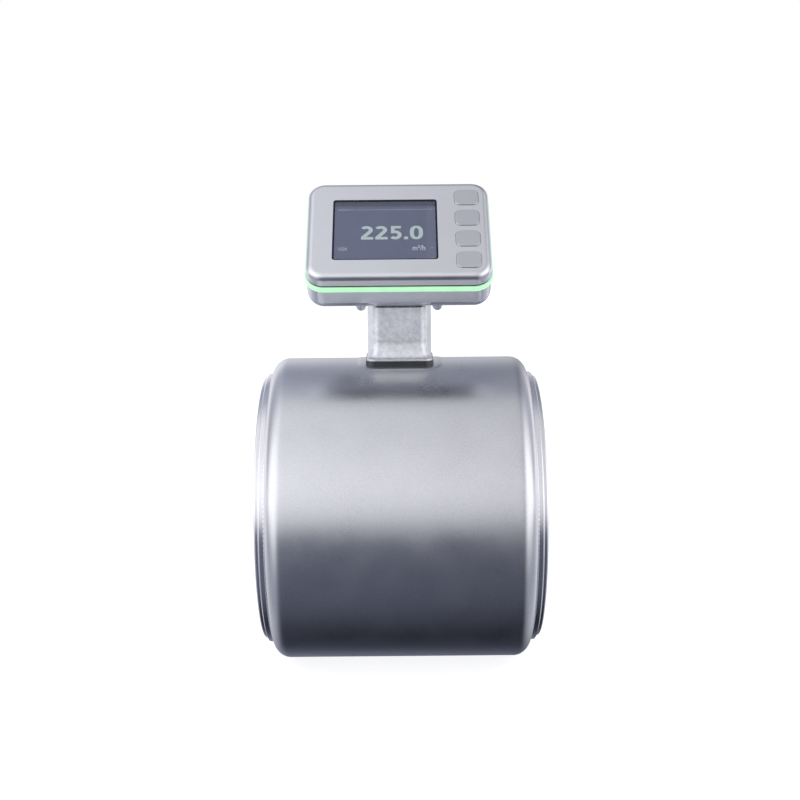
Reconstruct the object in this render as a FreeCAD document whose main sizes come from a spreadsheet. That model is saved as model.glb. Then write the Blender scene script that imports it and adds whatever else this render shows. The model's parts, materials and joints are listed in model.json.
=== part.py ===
"""Electromagnetic flow meter for hygienic pipework, as a parametric FreeCAD document.

The origin is on the pipe axis at the drum's middle. +X runs along the flow, +Z is up,
and the display looks towards -Y and up. All lengths are millimetres.
"""
import FreeCAD, Part
import math
import os
import re

import Sketcher

V = FreeCAD.Vector

SIZES = {
    # bore, lining and measuring tube
    "bore_radius": 50,
    "liner_wall": 4,
    "tube_wall": 3.15,
    "flare_rise": 2.85,
    "flare_thickness": 3,
    "seal_inset": 2.5,
    "seal_width": 4,
    "seal_groove_depth": 1.5,
    "seal_height": 2.3,
    "seal_round": 0.7,
    # magnet: shoes, cores, bobbins, windings and yoke
    "shoe_gap": 0.25,
    "shoe_thickness": 2,
    "shoe_half_length": 26,
    "shoe_angle": 84,
    "coil_room": 10.6,
    "core_radius": 9,
    "core_clearance": 0.2,
    "bobbin_lift": 0.8,
    "bobbin_radius": 16,
    "bobbin_hub_wall": 1.2,
    "bobbin_flange": 1,
    "bobbin_clearance": 0.35,
    "winding_inset": 0.6,
    "yoke_wall": 2.5,
    "yoke_half_length": 28,
    # electrodes and probe
    "stud_radius": 1.5,
    "stud_head_radius": 4,
    "stud_head_height": 1.5,
    "stud_clearance": 4,
    "bush_wall": 1.55,
    "bush_flange": 1.9,
    "bush_flange_height": 2,
    "nut_half_width": 2.75,
    "nut_height": 2.4,
    "top_stud_gap": 16,
    # sensor board on posts of the yoke
    "board_gap": 1.5,
    "board_thickness": 1.6,
    "board_corner": 3,
    "sensor_board_overhang": 2,
    "sensor_board_half_width": 19,
    "post_radius": 2.5,
    "post_inset": 4,
    "post_edge": 5,
    "post_root": 0.4,
    # drum
    "drum_half_length": 71,
    "drum_wall": 2.5,
    "shoulder_radius": 8.8,
    "boss_gap": 1.4,
    "screw_boss_length": 5.5,
    "screw_boss_radius": 3.2,
    "boss_hole_floor": 0.5,
    # stepped end plates, welded into the drum
    "end_ring_width": 3.3,
    "end_lip_step": 2.2,
    "end_lip_width": 2.2,
    "end_edge_round": 0.9,
    "end_hub_step": 4.7,
    "end_hub_depth": 14,
    "end_seat_depth": 6,
    "end_bolt_inset": 5,
    "end_bolt_radius": 3.4,
    "end_bolt_depth": 12,
    "end_bolt_count": 8,
    # seat of the neck on the drum
    "seat_rise": 0.35,
    "seat_margin": 3.8,
    "seat_root": 0.9,
    "seat_gasket": 0.85,
    "gasket_overhang": 0.6,
    # neck
    "neck_height": 45.5,
    "neck_front_half_width": 15.2,
    "neck_rear_half_width": 18,
    "neck_half_depth": 15,
    "neck_corner": 4.2,
    "neck_base_step": 0.1,
    "neck_base_reach": 3,
    "neck_base_edge": 1,
    "neck_flare_height": 10,
    "neck_wall": 5.2,
    "neck_cavity_corner": 3,
    "neck_ledge": 5.8,
    "wire_hole_margin": 4.5,
    "neck_screw_clearance": 0.65,
    "neck_screw_spare": 3,
    # screws
    "screw_radius": 1.5,
    "screw_head_radius": 2.75,
    "screw_head_height": 3,
    "socket_share": 0.45,
    "thread_clearance": 0.05,
    "hole_clearance": 0.2,
    "cut_margin": 1,
    # face of the head: window, keys and the margins round them
    "window_half_width": 28.5,
    "window_half_height": 21.8,
    "window_corner": 1.6,
    "window_drop": 0.6,
    "face_left_margin": 14,
    "face_key_gap": 9.65,
    "face_right_margin": 5.65,
    "face_end_margin": 12.8,
    "key_half_width": 6.65,
    "key_row_margin": 4.4,
    "key_spacing": 3.9,
    "key_drop": 0.3,
    # head as a whole
    "head_elevation": 45,
    "head_rise": 9,
    "head_corner": 9.5,
    "head_gasket": 1,
    "head_gasket_inset": 0.3,
    "head_screw_clearance": 0.25,
    "head_screw_row": 8,
    "head_screw_length": 11,
    "head_screw_spare": 1,
    # rear housing
    "housing_depth": 17.3,
    "housing_wall": 2.6,
    "housing_floor": 3,
    "housing_round": 7.6,
    "housing_boss_radius": 2.9,
    "housing_boss_proud": 1,
    "cover_boss_radius": 2.4,
    "cover_boss_drop": 5.3,
    "cover_screw_spread": 20.9,
    "cover_screw_inset": 2.5,
    "cover_screw_grip": 6,
    "cover_hole_spare": 1,
    "dome_radius": 2.6,
    "dome_height": 2.4,
    "dome_rim": 0.6,
    # light ring and seal
    "ring_overhang": 0.9,
    "ring_thickness": 3.4,
    "ring_width": 3,
    "ring_round": 0.5,
    "cover_seal_inset": 0.15,
    "cover_seal_width": 1.5,
    "cover_seal_thickness": 1.1,
    # front cover
    "cover_height": 7,
    "cover_wall": 2.4,
    "cover_face": 1.8,
    "cover_round": 3.4,
    # display
    "window_clearance": 0.12,
    "window_recess": 0.5,
    "window_flange": 2,
    "window_flange_height": 1.2,
    "module_side_margin": 3.9,
    "module_end_margin": 2.8,
    "module_thickness": 2.5,
    "module_gap": 0.2,
    "module_corner": 1,
    "frame_rail": 3.4,
    # keys
    "key_corner": 3.2,
    "key_clearance": 0.15,
    "key_proud": 0.45,
    "key_edge_round": 0.4,
    "key_flange": 0.9,
    "key_flange_height": 1.4,
    "key_flange_gap": 0.1,
    "key_travel": 0.5,
    "key_stem_radius": 1.5,
    "key_stem_gap": 0.1,
    # keypad mat
    "mat_thickness": 1,
    "mat_margin": 0.9,
    "mat_rim": 0.3,
    "mat_dome_height": 0.6,
    "mat_dome_radius": 2.6,
    "mat_dome_slope": 35,
    # main board
    "main_board_rise": 0.3,
    "main_board_clearance": 1.7,
    "main_board_boss_gap": 0.6,
    "board_screw_outer_gap": 3.3,
    "board_screw_inner_gap": 2.5,
    "board_screw_row": 20,
    "board_screw_radius": 1.25,
    "board_screw_head_radius": 2.1,
    "board_screw_head_height": 1.6,
    "board_screw_length": 8,
    "board_post_radius": 3,
    "led_length": 3.2,
    "led_width": 1.6,
    "led_height": 0.8,
    "led_spread": 30,
    "led_inset": 0.4,
    # round plug socket
    "socket_inset": 16.3,
    "socket_thread_radius": 6,
    "socket_thread_length": 9.5,
    "socket_shoulder": 1.8,
    "socket_flange_rim": 1.2,
    "socket_flange_height": 2.5,
    "socket_inside_length": 8.5,
    "socket_wall": 1.2,
    "socket_recess": 8.5,
    "socket_seal_rim": 0.8,
    "socket_seal_height": 0.6,
    "socket_nut_rim": 1.2,
    "socket_nut_height": 2.5,
    "pin_radius": 0.5,
    "pin_length": 7,
    "pin_circle": 2.75,
    # wire harness
    "harness_radius": 2.2,
    "harness_bend": 12,
    "harness_start_gap": 0.1,
}

PIECES = []

doc = FreeCAD.newDocument("FlowMeter")
sheet = doc.addObject("Spreadsheet::Sheet", "Sizes")
for row, (alias, size) in enumerate(SIZES.items(), start=1):
    sheet.set(f"A{row}", alias)
    sheet.set(f"B{row}", str(size))
    sheet.setAlias(f"B{row}", alias)
doc.recompute()


# ---------------------------------------------------------------- formulas

def tied(formula):
    """Return the formula with each size name pointed at its cell of the sheet."""
    return re.sub(r"[a-z_]+", lambda w: f"Sizes.{w[0]}" if w[0] in SIZES else w[0], str(formula))


def number(formula):
    """Return what a formula comes to with the sheet's sizes."""
    result = sheet.evalExpression(tied(formula))
    return float(getattr(result, "Value", result))


def bind(item, prop, formula):
    """Bind one property of an object to a formula in the sheet's sizes."""
    item.setExpression(prop, tied(formula))


# Places that several pieces share, as formulas: the pipe outwards to the drum.
TUBE_INNER = "(bore_radius + liner_wall)"
TUBE_OUTER = f"({TUBE_INNER} + tube_wall)"
FLARE_RADIUS = f"({TUBE_OUTER} + flare_rise)"
SEAL_INNER = "(bore_radius + seal_inset)"
SEAL_OUTER = f"({SEAL_INNER} + seal_width)"
SHOE_INNER = f"({TUBE_OUTER} + shoe_gap)"
SHOE_OUTER = f"({SHOE_INNER} + shoe_thickness)"
YOKE_INNER = f"({SHOE_OUTER} + coil_room)"
YOKE_OUTER = f"({YOKE_INNER} + yoke_wall)"
BOBBIN_BASE = f"({SHOE_OUTER} + bobbin_lift)"
BOBBIN_TOP = f"(sqrt({YOKE_INNER}^2 - bobbin_radius^2) - bobbin_clearance)"
CORE_HOLE = "(core_radius + core_clearance)"
STUD_HOLE = "(stud_radius + thread_clearance)"
STUD_TOP = f"({YOKE_INNER} - stud_clearance)"
TOP_STUD_X = "(yoke_half_length + top_stud_gap)"
BUSH_RADIUS = f"({STUD_HOLE} + bush_wall)"
SENSOR_BOARD_BASE = f"({YOKE_OUTER} + board_gap)"
SENSOR_BOARD_TOP = f"({SENSOR_BOARD_BASE} + board_thickness)"
BOSS_END = f"({SENSOR_BOARD_TOP} + boss_gap)"
DRUM_INNER = f"({BOSS_END} + screw_boss_length)"
DRUM_RADIUS = f"({DRUM_INNER} + drum_wall)"

# The drum's ends.
RING_FACE = "(drum_half_length + end_ring_width)"
END_FACE = f"({RING_FACE} + end_lip_width)"
FLARE_BACK = f"({END_FACE} - flare_thickness)"
RING_RADIUS = f"({DRUM_RADIUS} - shoulder_radius)"
LIP_RADIUS = f"({RING_RADIUS} - end_lip_step)"
HUB_RADIUS = f"({RING_RADIUS} - end_hub_step)"
BOLT_CIRCLE = f"({HUB_RADIUS} - end_bolt_inset)"

# The neck.
SEAT_RADIUS = f"({DRUM_RADIUS} + seat_rise)"
NECK_BASE = f"({SEAT_RADIUS} + seat_gasket)"
NECK_LEDGE = f"({NECK_BASE} + neck_ledge)"
NECK_TOP = f"({NECK_BASE} + neck_height)"
BASE_HALF_WIDTH = "(neck_rear_half_width + neck_base_step)"
BASE_HALF_DEPTH = "(neck_half_depth + neck_base_reach)"
SEAT_HALF_WIDTH = f"({BASE_HALF_WIDTH} + gasket_overhang + seat_margin)"
SEAT_HALF_DEPTH = f"({BASE_HALF_DEPTH} + gasket_overhang + seat_margin)"
CAVITY_HALF_WIDTH = "(neck_front_half_width - neck_wall)"
CAVITY_HALF_DEPTH = "(neck_half_depth - neck_wall)"
CAVITY_HALF_SLOPE = f"({CAVITY_HALF_DEPTH} / sin(head_elevation))"
WIRE_HOLE = f"({CAVITY_HALF_WIDTH} - wire_hole_margin)"
NECK_SCREW_X = f"({CAVITY_HALF_WIDTH} - screw_head_radius - neck_screw_clearance)"
NECK_SCREW_Y = f"({CAVITY_HALF_DEPTH} - screw_head_radius - neck_screw_clearance)"
LOOSE_SCREW = "(screw_radius + hole_clearance)"
TAPPED_SCREW = "(screw_radius + thread_clearance)"

# The head's face, and its levels above the back.
NECK_ROW = "(0 - head_rise)"
HEAD_SCREW_X = f"({CAVITY_HALF_WIDTH} + screw_head_radius + head_screw_clearance)"
FACE_WIDTH = ("(face_left_margin + 2 * window_half_width + face_key_gap"
              " + 2 * key_half_width + face_right_margin)")
HEAD_HALF_WIDTH = f"({FACE_WIDTH} / 2)"
HEAD_HALF_HEIGHT = "(window_half_height + face_end_margin)"
WINDOW_X = f"(face_left_margin + window_half_width - {HEAD_HALF_WIDTH})"
WINDOW_Y = "(0 - window_drop)"
KEY_X = f"({HEAD_HALF_WIDTH} - face_right_margin - key_half_width)"
KEY_PITCH = f"(({HEAD_HALF_HEIGHT} - key_row_margin) / 2)"
KEY_HALF_HEIGHT = f"(({KEY_PITCH} - key_spacing) / 2)"
COVER_SCREW_Y = f"({HEAD_HALF_HEIGHT} - housing_wall - cover_screw_inset)"
COVER_BOSS_END = "(housing_depth - cover_boss_drop)"
RING_BASE = "housing_depth"
RING_TOP = f"({RING_BASE} + ring_thickness)"
COVER_BASE = f"({RING_TOP} + cover_seal_thickness)"
COVER_TOP = f"({COVER_BASE} + cover_height)"
COVER_INSIDE = f"({COVER_TOP} - cover_face)"
BOARD_TOP = f"({RING_TOP} + main_board_rise)"
BOARD_BASE = f"({BOARD_TOP} - board_thickness)"
BOARD_HALF_WIDTH = f"({HEAD_HALF_WIDTH} - housing_wall - main_board_clearance)"
BOARD_HALF_HEIGHT = f"({COVER_SCREW_Y} - housing_boss_radius - main_board_boss_gap)"
MODULE_HALF_WIDTH = "(window_half_width + module_side_margin)"
MODULE_HALF_HEIGHT = "(window_half_height + module_end_margin)"
BOARD_SCREW_LEFT = f"({WINDOW_X} - {MODULE_HALF_WIDTH} - board_screw_outer_gap)"
BOARD_SCREW_RIGHT = f"({WINDOW_X} + {MODULE_HALF_WIDTH} + board_screw_inner_gap)"
WINDOW_BASE = f"({COVER_INSIDE} - window_flange_height)"
MODULE_TOP = f"({WINDOW_BASE} - module_gap)"
MODULE_BASE = f"({MODULE_TOP} - module_thickness)"
MAT_TOP = f"({BOARD_TOP} + mat_thickness + mat_dome_height)"
KEY_TOP = f"({COVER_TOP} + key_proud)"
KEY_FLANGE_TOP = f"({COVER_INSIDE} - key_flange_gap)"
KEY_STEM_END = f"({MAT_TOP} + key_travel + key_stem_gap)"

# The round plug socket.
SOCKET_X = f"(socket_inset - {HEAD_HALF_WIDTH})"
SOCKET_NECK = "(socket_thread_radius + socket_shoulder)"
SOCKET_NUT = f"({SOCKET_NECK} + socket_nut_rim)"
SOCKET_INNER = "(socket_thread_radius - socket_wall)"
SOCKET_FLANGE = "(socket_seal_height + socket_flange_height)"
SOCKET_TIP = f"({SOCKET_FLANGE} + socket_thread_length)"
INSERT_FACE = f"({SOCKET_TIP} - socket_recess)"


# ---------------------------------------------------------------- sketches and features

def plane(body, role):
    """Return one of a body's own origin planes or axes."""
    return next(item for item in body.Origin.OriginFeatures if item.Role == role)


def new_body(name, parent_place=None):
    """Add a body for one piece and put it in its place."""
    body = doc.addObject("PartDesign::Body", name)
    body.Label = name
    body.AllowCompound = True
    if parent_place:
        parent_place(body)
    PIECES.append(body)
    return body


def new_sketch(body, name, role="XY_Plane", lift=None):
    """Add a sketch on an origin plane of the body, lifted along the plane's normal."""
    sketch = body.newObject("Sketcher::SketchObject", name)
    sketch.AttachmentSupport = (plane(body, role), [""])
    sketch.MapMode = "FlatFace"
    if lift is not None:
        bind(sketch, "AttachmentOffset.Base.z", lift)
    return sketch


def dimension(sketch, kind, *where, formula):
    """Add one dimension to a sketch and tie it to a formula."""
    index = sketch.addConstraint(Sketcher.Constraint(kind, *where, number(formula)))
    bind(sketch, f"Constraints[{index}]", formula)


def fix_point(sketch, geometry, point, x, y):
    """Place a point of the sketch by its distances from the origin."""
    dimension(sketch, "DistanceX", -1, 1, geometry, point, formula=x)
    dimension(sketch, "DistanceY", -1, 1, geometry, point, formula=y)


def outline(sketch, points):
    """Draw a closed outline through the points.

    A point is (x, y). A third entry makes the stretch that leads to the next point a
    quarter-round arc, and gives its centre as (x, y, clockwise).
    """
    count = len(points)
    places = [V(number(p[0]), number(p[1]), 0) for p in points]
    edges = []
    for i, point in enumerate(points):
        start, end = places[i], places[(i + 1) % count]
        if len(point) == 2:
            edges.append((sketch.addGeometry(Part.LineSegment(start, end)), 1, 2))
            continue
        x, y, clockwise = point[2]
        centre = V(number(x), number(y), 0)
        first, last = (end, start) if clockwise else (start, end)
        angles = [math.atan2(p.y - centre.y, p.x - centre.x) for p in (first, last)]
        circle = Part.Circle(centre, V(0, 0, 1), (start - centre).Length)
        arc = sketch.addGeometry(Part.ArcOfCircle(circle, angles[0], angles[1]))
        edges.append((arc, 2, 1) if clockwise else (arc, 1, 2))
        dimension(sketch, "DistanceX", -1, 1, arc, 3, formula=x)
    for i, point in enumerate(points):
        edge, start, _ = edges[i]
        before, _, end = edges[i - 1]
        sketch.addConstraint(Sketcher.Constraint("Coincident", before, end, edge, start))
        fix_point(sketch, edge, start, point[0], point[1])


def rounded(sketch, corners):
    """Draw a closed outline of straight sides that run tangent into corner arcs.

    Each corner is (centre x, centre y, radius), in anticlockwise order.
    """
    count = len(corners)
    centres = [V(number(x), number(y), 0) for x, y, _ in corners]
    radii = [number(radius) for _, _, radius in corners]
    normals = []
    for i in range(count):
        gap = centres[(i + 1) % count] - centres[i]
        along = gap * (1 / gap.Length)
        lean = (radii[i] - radii[(i + 1) % count]) / gap.Length
        normals.append(along * lean + V(along.y, -along.x, 0) * math.sqrt(1 - lean * lean))
    sides = []
    arcs = []
    for i in range(count):
        j = (i + 1) % count
        start = centres[i] + normals[i] * radii[i]
        end = centres[j] + normals[i] * radii[j]
        sides.append(sketch.addGeometry(Part.LineSegment(start, end)))
    for i in range(count):
        first = math.atan2(normals[i - 1].y, normals[i - 1].x)
        last = math.atan2(normals[i].y, normals[i].x)
        circle = Part.Circle(centres[i], V(0, 0, 1), radii[i])
        arcs.append(sketch.addGeometry(Part.ArcOfCircle(circle, first, last + 2 * math.pi * (last < first))))
    for i, (x, y, radius) in enumerate(corners):
        sketch.addConstraint(Sketcher.Constraint("Tangent", sides[i - 1], 2, arcs[i], 1))
        sketch.addConstraint(Sketcher.Constraint("Tangent", arcs[i], 2, sides[i], 1))
        fix_point(sketch, arcs[i], 3, x, y)
        dimension(sketch, "Radius", arcs[i], formula=radius)


def rounded_box(sketch, half_width, half_height, corner, x="0", y="0"):
    """Draw a rectangle with rounded corners about the point x, y."""
    reach_x, reach_y = f"(({half_width}) - ({corner}))", f"(({half_height}) - ({corner}))"
    signs = [("-", "-"), ("+", "-"), ("+", "+"), ("-", "+")]
    rounded(sketch, [(f"{x} {sx} {reach_x}", f"{y} {sy} {reach_y}", corner) for sx, sy in signs])


def circle(sketch, radius, x="0", y="0"):
    """Draw a circle about the point x, y."""
    centre = V(number(x), number(y), 0)
    ring = sketch.addGeometry(Part.Circle(centre, V(0, 0, 1), number(radius)))
    fix_point(sketch, ring, 3, x, y)
    dimension(sketch, "Radius", ring, formula=radius)


def box(sketch, x, y, half_width, half_height):
    """Draw a plain rectangle about the point x, y."""
    signs = [("-", "-"), ("+", "-"), ("+", "+"), ("-", "+")]
    outline(sketch, [(f"{x} {sx} ({half_width})", f"{y} {sy} ({half_height})") for sx, sy in signs])


def hexagon(sketch, half_width, x="0", y="0"):
    """Draw a hexagon of the given half width across flats about the point x, y."""
    corner = f"{half_width} / cos(30)"
    outline(sketch, [(f"{x} + {corner} * cos({60 * k})", f"{y} + {corner} * sin({60 * k})")
                     for k in range(6)])


def extrude(kind, body, sketch, length, reverse=False, both=False):
    """Pad or pocket a sketch by a length: up the normal for a pad, down it for a pocket."""
    feature = body.newObject(f"PartDesign::{kind}", f"{sketch.Name}_{kind.lower()}")
    feature.Profile = sketch
    feature.Reversed = reverse
    if both:
        feature.SideType = "Symmetric"
    bind(feature, "Length", length)
    return feature


def pad(body, sketch, length, **options):
    """Add material over a sketch."""
    return extrude("Pad", body, sketch, length, **options)


def pocket(body, sketch, length, **options):
    """Cut a sketch into the body."""
    return extrude("Pocket", body, sketch, length, **options)


def turn(body, sketch, axis, kind="Revolution", angle="360", both=False):
    """Revolve a sketch round one of the sketch's own axes, H_Axis or V_Axis."""
    feature = body.newObject(f"PartDesign::{kind}", f"{sketch.Name}_{kind.lower()}")
    feature.Profile = sketch
    feature.ReferenceAxis = (sketch, [axis])
    feature.Midplane = both
    bind(feature, "Angle", angle)
    return feature


def repeat(body, features, *transformations):
    """Repeat one or more features by mirrors or rows, and keep the result as the body's tip."""
    features = features if isinstance(features, list) else [features]
    name = features[0].Name
    pattern = body.newObject("PartDesign::MultiTransform", f"{name}_repeat")
    pattern.Originals = features
    steps = []
    for kind, role, count, length in transformations:
        step = body.newObject(f"PartDesign::{kind}", f"{name}_{kind.lower()}")
        if kind == "Mirrored":
            step.MirrorPlane = (plane(body, role), [""])
        elif kind == "LinearPattern":
            step.Direction = (plane(body, role), [""])
            step.Occurrences = count
            bind(step, "Length", length)
        else:
            step.Axis = (plane(body, role), [""])
            step.Angle = 360
            bind(step, "Occurrences", count)
        steps.append(step)
    pattern.Transformations = steps
    body.Tip = pattern
    return pattern


def four_times(body, features):
    """Mirror one or more features to the four quarters of the body's XY plane."""
    return repeat(body, features, ("Mirrored", "YZ_Plane", 2, None), ("Mirrored", "XZ_Plane", 2, None))


def round_edges(body, radius, chosen):
    """Fillet the edges of the body's present solid for which chosen(edge) is true."""
    doc.recompute()
    base = body.Tip
    names = [f"Edge{i}" for i, edge in enumerate(base.Shape.Edges, start=1) if chosen(edge)]
    fillet = body.newObject("PartDesign::Fillet", f"{body.Name}_round")
    fillet.Base = (base, names)
    bind(fillet, "Radius", radius)
    return fillet


def lies_at(edge, height):
    """Tell whether an edge lies level at a height above the body's own XY plane."""
    return all(abs(corner.Point.z - number(height)) < 1e-4 for corner in edge.Vertexes)


# ---------------------------------------------------------------- places of the bodies

HEAD_TILT = FreeCAD.Rotation(V(1, 0, 0), number("90 - head_elevation"))


def on_head(item):
    """Put an item in the head's frame: middle of its back, X right, Y up the face, Z outwards."""
    item.Placement = FreeCAD.Placement(V(0, 0, 0), HEAD_TILT)
    bind(item, "Placement.Rotation.Angle", "90 - head_elevation")
    bind(item, "Placement.Base.y", "head_rise * sin(head_elevation)")
    bind(item, "Placement.Base.z", f"{NECK_TOP} + head_rise * cos(head_elevation)")


def turned_about_x(angle, along="0"):
    """Return a placing that turns an upright item about the pipe axis, and shifts it along."""
    def place(item):
        item.Placement = FreeCAD.Placement(V(0, 0, 0), FreeCAD.Rotation(V(1, 0, 0), angle))
        bind(item, "Placement.Base.x", along)
    return place


STUD_PLACES = {
    "electrode_front": turned_about_x(90),
    "electrode_rear": turned_about_x(-90),
    "detection_electrode": turned_about_x(0, f"0 - {TOP_STUD_X}"),
    "temperature_probe": turned_about_x(0, TOP_STUD_X),
}


# ---------------------------------------------------------------- drum and pipe

def drum_shell():
    """Drum with rounded shoulders, a raised seat and inner screw bosses for the neck."""
    body = new_body("drum_shell")
    shoulder_x = "(drum_half_length - shoulder_radius)"
    inner_x = "(drum_half_length - drum_wall)"
    section = new_sketch(body, "drum_section", "XZ_Plane")
    outline(section, [
        (f"-{shoulder_x}", DRUM_RADIUS),
        (shoulder_x, DRUM_RADIUS, (shoulder_x, RING_RADIUS, True)),
        ("drum_half_length", RING_RADIUS),
        (inner_x, RING_RADIUS, (shoulder_x, RING_RADIUS, False)),
        (shoulder_x, DRUM_INNER),
        (f"-{shoulder_x}", DRUM_INNER, (f"-{shoulder_x}", RING_RADIUS, False)),
        (f"-{inner_x}", RING_RADIUS),
        ("-drum_half_length", RING_RADIUS, (f"-{shoulder_x}", RING_RADIUS, True)),
    ])
    turn(body, section, "H_Axis")

    seat_base = f"(sqrt({DRUM_INNER}^2 - {SEAT_HALF_DEPTH}^2) - seat_root)"
    seat = new_sketch(body, "seat_outline", lift=seat_base)
    rounded_box(seat, SEAT_HALF_WIDTH, SEAT_HALF_DEPTH, "neck_corner + gasket_overhang + seat_margin")
    pad(body, seat, f"{SEAT_RADIUS} + cut_margin - {seat_base}")
    turned_cut(body, "seat_crown", SEAT_HALF_WIDTH, SEAT_RADIUS, f"{SEAT_RADIUS} + {SEAT_HALF_DEPTH}")
    turned_cut(body, "seat_inside", SEAT_HALF_WIDTH, f"{DRUM_INNER} / 2", DRUM_INNER)

    boss = new_sketch(body, "boss_outline", lift=BOSS_END)
    circle(boss, "screw_boss_radius", NECK_SCREW_X, NECK_SCREW_Y)
    four_times(body, pad(body, boss, "screw_boss_length + drum_wall / 2"))
    hole = new_sketch(body, "boss_hole", lift=f"{BOSS_END} + boss_hole_floor")
    circle(hole, TAPPED_SCREW, NECK_SCREW_X, NECK_SCREW_Y)
    four_times(body, pocket(body, hole, "screw_boss_length + drum_wall + cut_margin", reverse=True))
    wires = new_sketch(body, "wire_hole", lift=f"{BOSS_END} - cut_margin")
    circle(wires, WIRE_HOLE)
    pocket(body, wires, f"{SEAT_RADIUS} - {BOSS_END} + 2 * cut_margin", reverse=True)


def turned_cut(body, name, half_length, inner, outer):
    """Turn away a ring about the pipe axis, between two radii and past half_length both ways."""
    reach = f"({half_length} + cut_margin)"
    ring = new_sketch(body, name, "XZ_Plane")
    outline(ring, [(f"-{reach}", inner), (reach, inner), (reach, outer), (f"-{reach}", outer)])
    return turn(body, ring, "H_Axis", "Groove")


def end_plate(name, side):
    """Stepped end plate: hub inside the drum, ring and lip outside it, tapped for an adapter."""
    body = new_body(name, lambda item: turned_end(item, side))
    hub_x = "(drum_half_length - end_hub_depth)"
    seat_x = "(drum_half_length - end_seat_depth)"
    section = new_sketch(body, f"{name}_section", "XZ_Plane")
    outline(section, [
        (hub_x, TUBE_OUTER),
        (FLARE_BACK, TUBE_OUTER),
        (FLARE_BACK, FLARE_RADIUS),
        (END_FACE, FLARE_RADIUS),
        (END_FACE, f"{LIP_RADIUS} - end_edge_round",
         (f"{END_FACE} - end_edge_round", f"{LIP_RADIUS} - end_edge_round", False)),
        (f"{END_FACE} - end_edge_round", LIP_RADIUS),
        (RING_FACE, LIP_RADIUS),
        (RING_FACE, f"{RING_RADIUS} - end_edge_round",
         (f"{RING_FACE} - end_edge_round", f"{RING_RADIUS} - end_edge_round", False)),
        (f"{RING_FACE} - end_edge_round", RING_RADIUS),
        (seat_x, RING_RADIUS),
        (seat_x, HUB_RADIUS),
        (hub_x, HUB_RADIUS),
    ])
    turn(body, section, "H_Axis")
    bolt = new_sketch(body, f"{name}_bolt", "YZ_Plane", lift=END_FACE)
    first_bolt = "(180 / end_bolt_count)"
    circle(bolt, "end_bolt_radius", f"{BOLT_CIRCLE} * sin({first_bolt})", f"{BOLT_CIRCLE} * cos({first_bolt})")
    hole = pocket(body, bolt, "end_bolt_depth")
    repeat(body, hole, ("PolarPattern", "X_Axis", "end_bolt_count", None))


def turned_end(item, side):
    """Keep an item at the outlet end, or turn it half round to the inlet end."""
    item.Placement = FreeCAD.Placement(V(0, 0, 0), FreeCAD.Rotation(V(0, 0, 1), 0 if side > 0 else 180))


def measuring_tube():
    """Non-magnetic tube, with clearance holes for the electrodes and the probe."""
    body = new_body("measuring_tube")
    section = new_sketch(body, "tube_section", "XZ_Plane")
    outline(section, [
        (f"-{FLARE_BACK}", TUBE_INNER),
        (FLARE_BACK, TUBE_INNER),
        (FLARE_BACK, TUBE_OUTER),
        (f"-{FLARE_BACK}", TUBE_OUTER),
    ])
    turn(body, section, "H_Axis")
    stud_holes(body, "tube", BUSH_RADIUS, f"{TUBE_OUTER} + cut_margin")


def stud_holes(body, name, radius, reach):
    """Cut the four radial holes of electrodes and probe, from the axis out to a reach."""
    level = new_sketch(body, f"{name}_side_holes", "XZ_Plane")
    circle(level, radius)
    pocket(body, level, f"2 * ({reach})", both=True)
    upright = new_sketch(body, f"{name}_top_hole")
    circle(upright, radius, TOP_STUD_X)
    hole = pocket(body, upright, reach, reverse=True)
    repeat(body, hole, ("Mirrored", "YZ_Plane", 2, None))


def liner():
    """Plastic lining, flared over both ends of the tube, with a groove for each seal."""
    body = new_body("liner")
    groove_floor = f"({END_FACE} - seal_groove_depth)"
    half = [
        (END_FACE, "bore_radius"),
        (END_FACE, SEAL_INNER),
        (groove_floor, SEAL_INNER),
        (groove_floor, SEAL_OUTER),
        (END_FACE, SEAL_OUTER),
        (END_FACE, FLARE_RADIUS),
        (FLARE_BACK, FLARE_RADIUS),
        (FLARE_BACK, TUBE_INNER),
    ]
    section = new_sketch(body, "liner_section", "XZ_Plane")
    outline(section, half + [(f"-{x}", radius) for x, radius in reversed(half)])
    turn(body, section, "H_Axis")
    stud_holes(body, "liner_stud", STUD_HOLE, f"{TUBE_INNER} + cut_margin")
    stud_holes(body, "liner_head", "stud_head_radius + thread_clearance", "bore_radius + stud_head_height")


def process_seal(name, side):
    """Seal ring in the liner's groove, standing proud of the end face."""
    body = new_body(name, lambda item: turned_end(item, side))
    floor = f"({END_FACE} - seal_groove_depth)"
    top = f"({floor} + seal_height)"
    section = new_sketch(body, f"{name}_section", "XZ_Plane")
    outline(section, [
        (floor, SEAL_INNER),
        (f"{top} - seal_round", SEAL_INNER,
         (f"{top} - seal_round", f"{SEAL_INNER} + seal_round", False)),
        (top, f"{SEAL_INNER} + seal_round"),
        (top, f"{SEAL_OUTER} - seal_round", (f"{top} - seal_round", f"{SEAL_OUTER} - seal_round", False)),
        (f"{top} - seal_round", SEAL_OUTER),
        (floor, SEAL_OUTER),
    ])
    turn(body, section, "H_Axis")


# ---------------------------------------------------------------- magnet

def pole_shoe(name, angle):
    """Curved steel plate that spreads the field over the tube."""
    body = new_body(name, turned_about_x(angle))
    section = new_sketch(body, f"{name}_section", "XZ_Plane")
    outline(section, [
        ("-shoe_half_length", SHOE_INNER),
        ("shoe_half_length", SHOE_INNER),
        ("shoe_half_length", SHOE_OUTER),
        ("-shoe_half_length", SHOE_OUTER),
    ])
    turn(body, section, "H_Axis", angle="shoe_angle", both=True)


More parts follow.
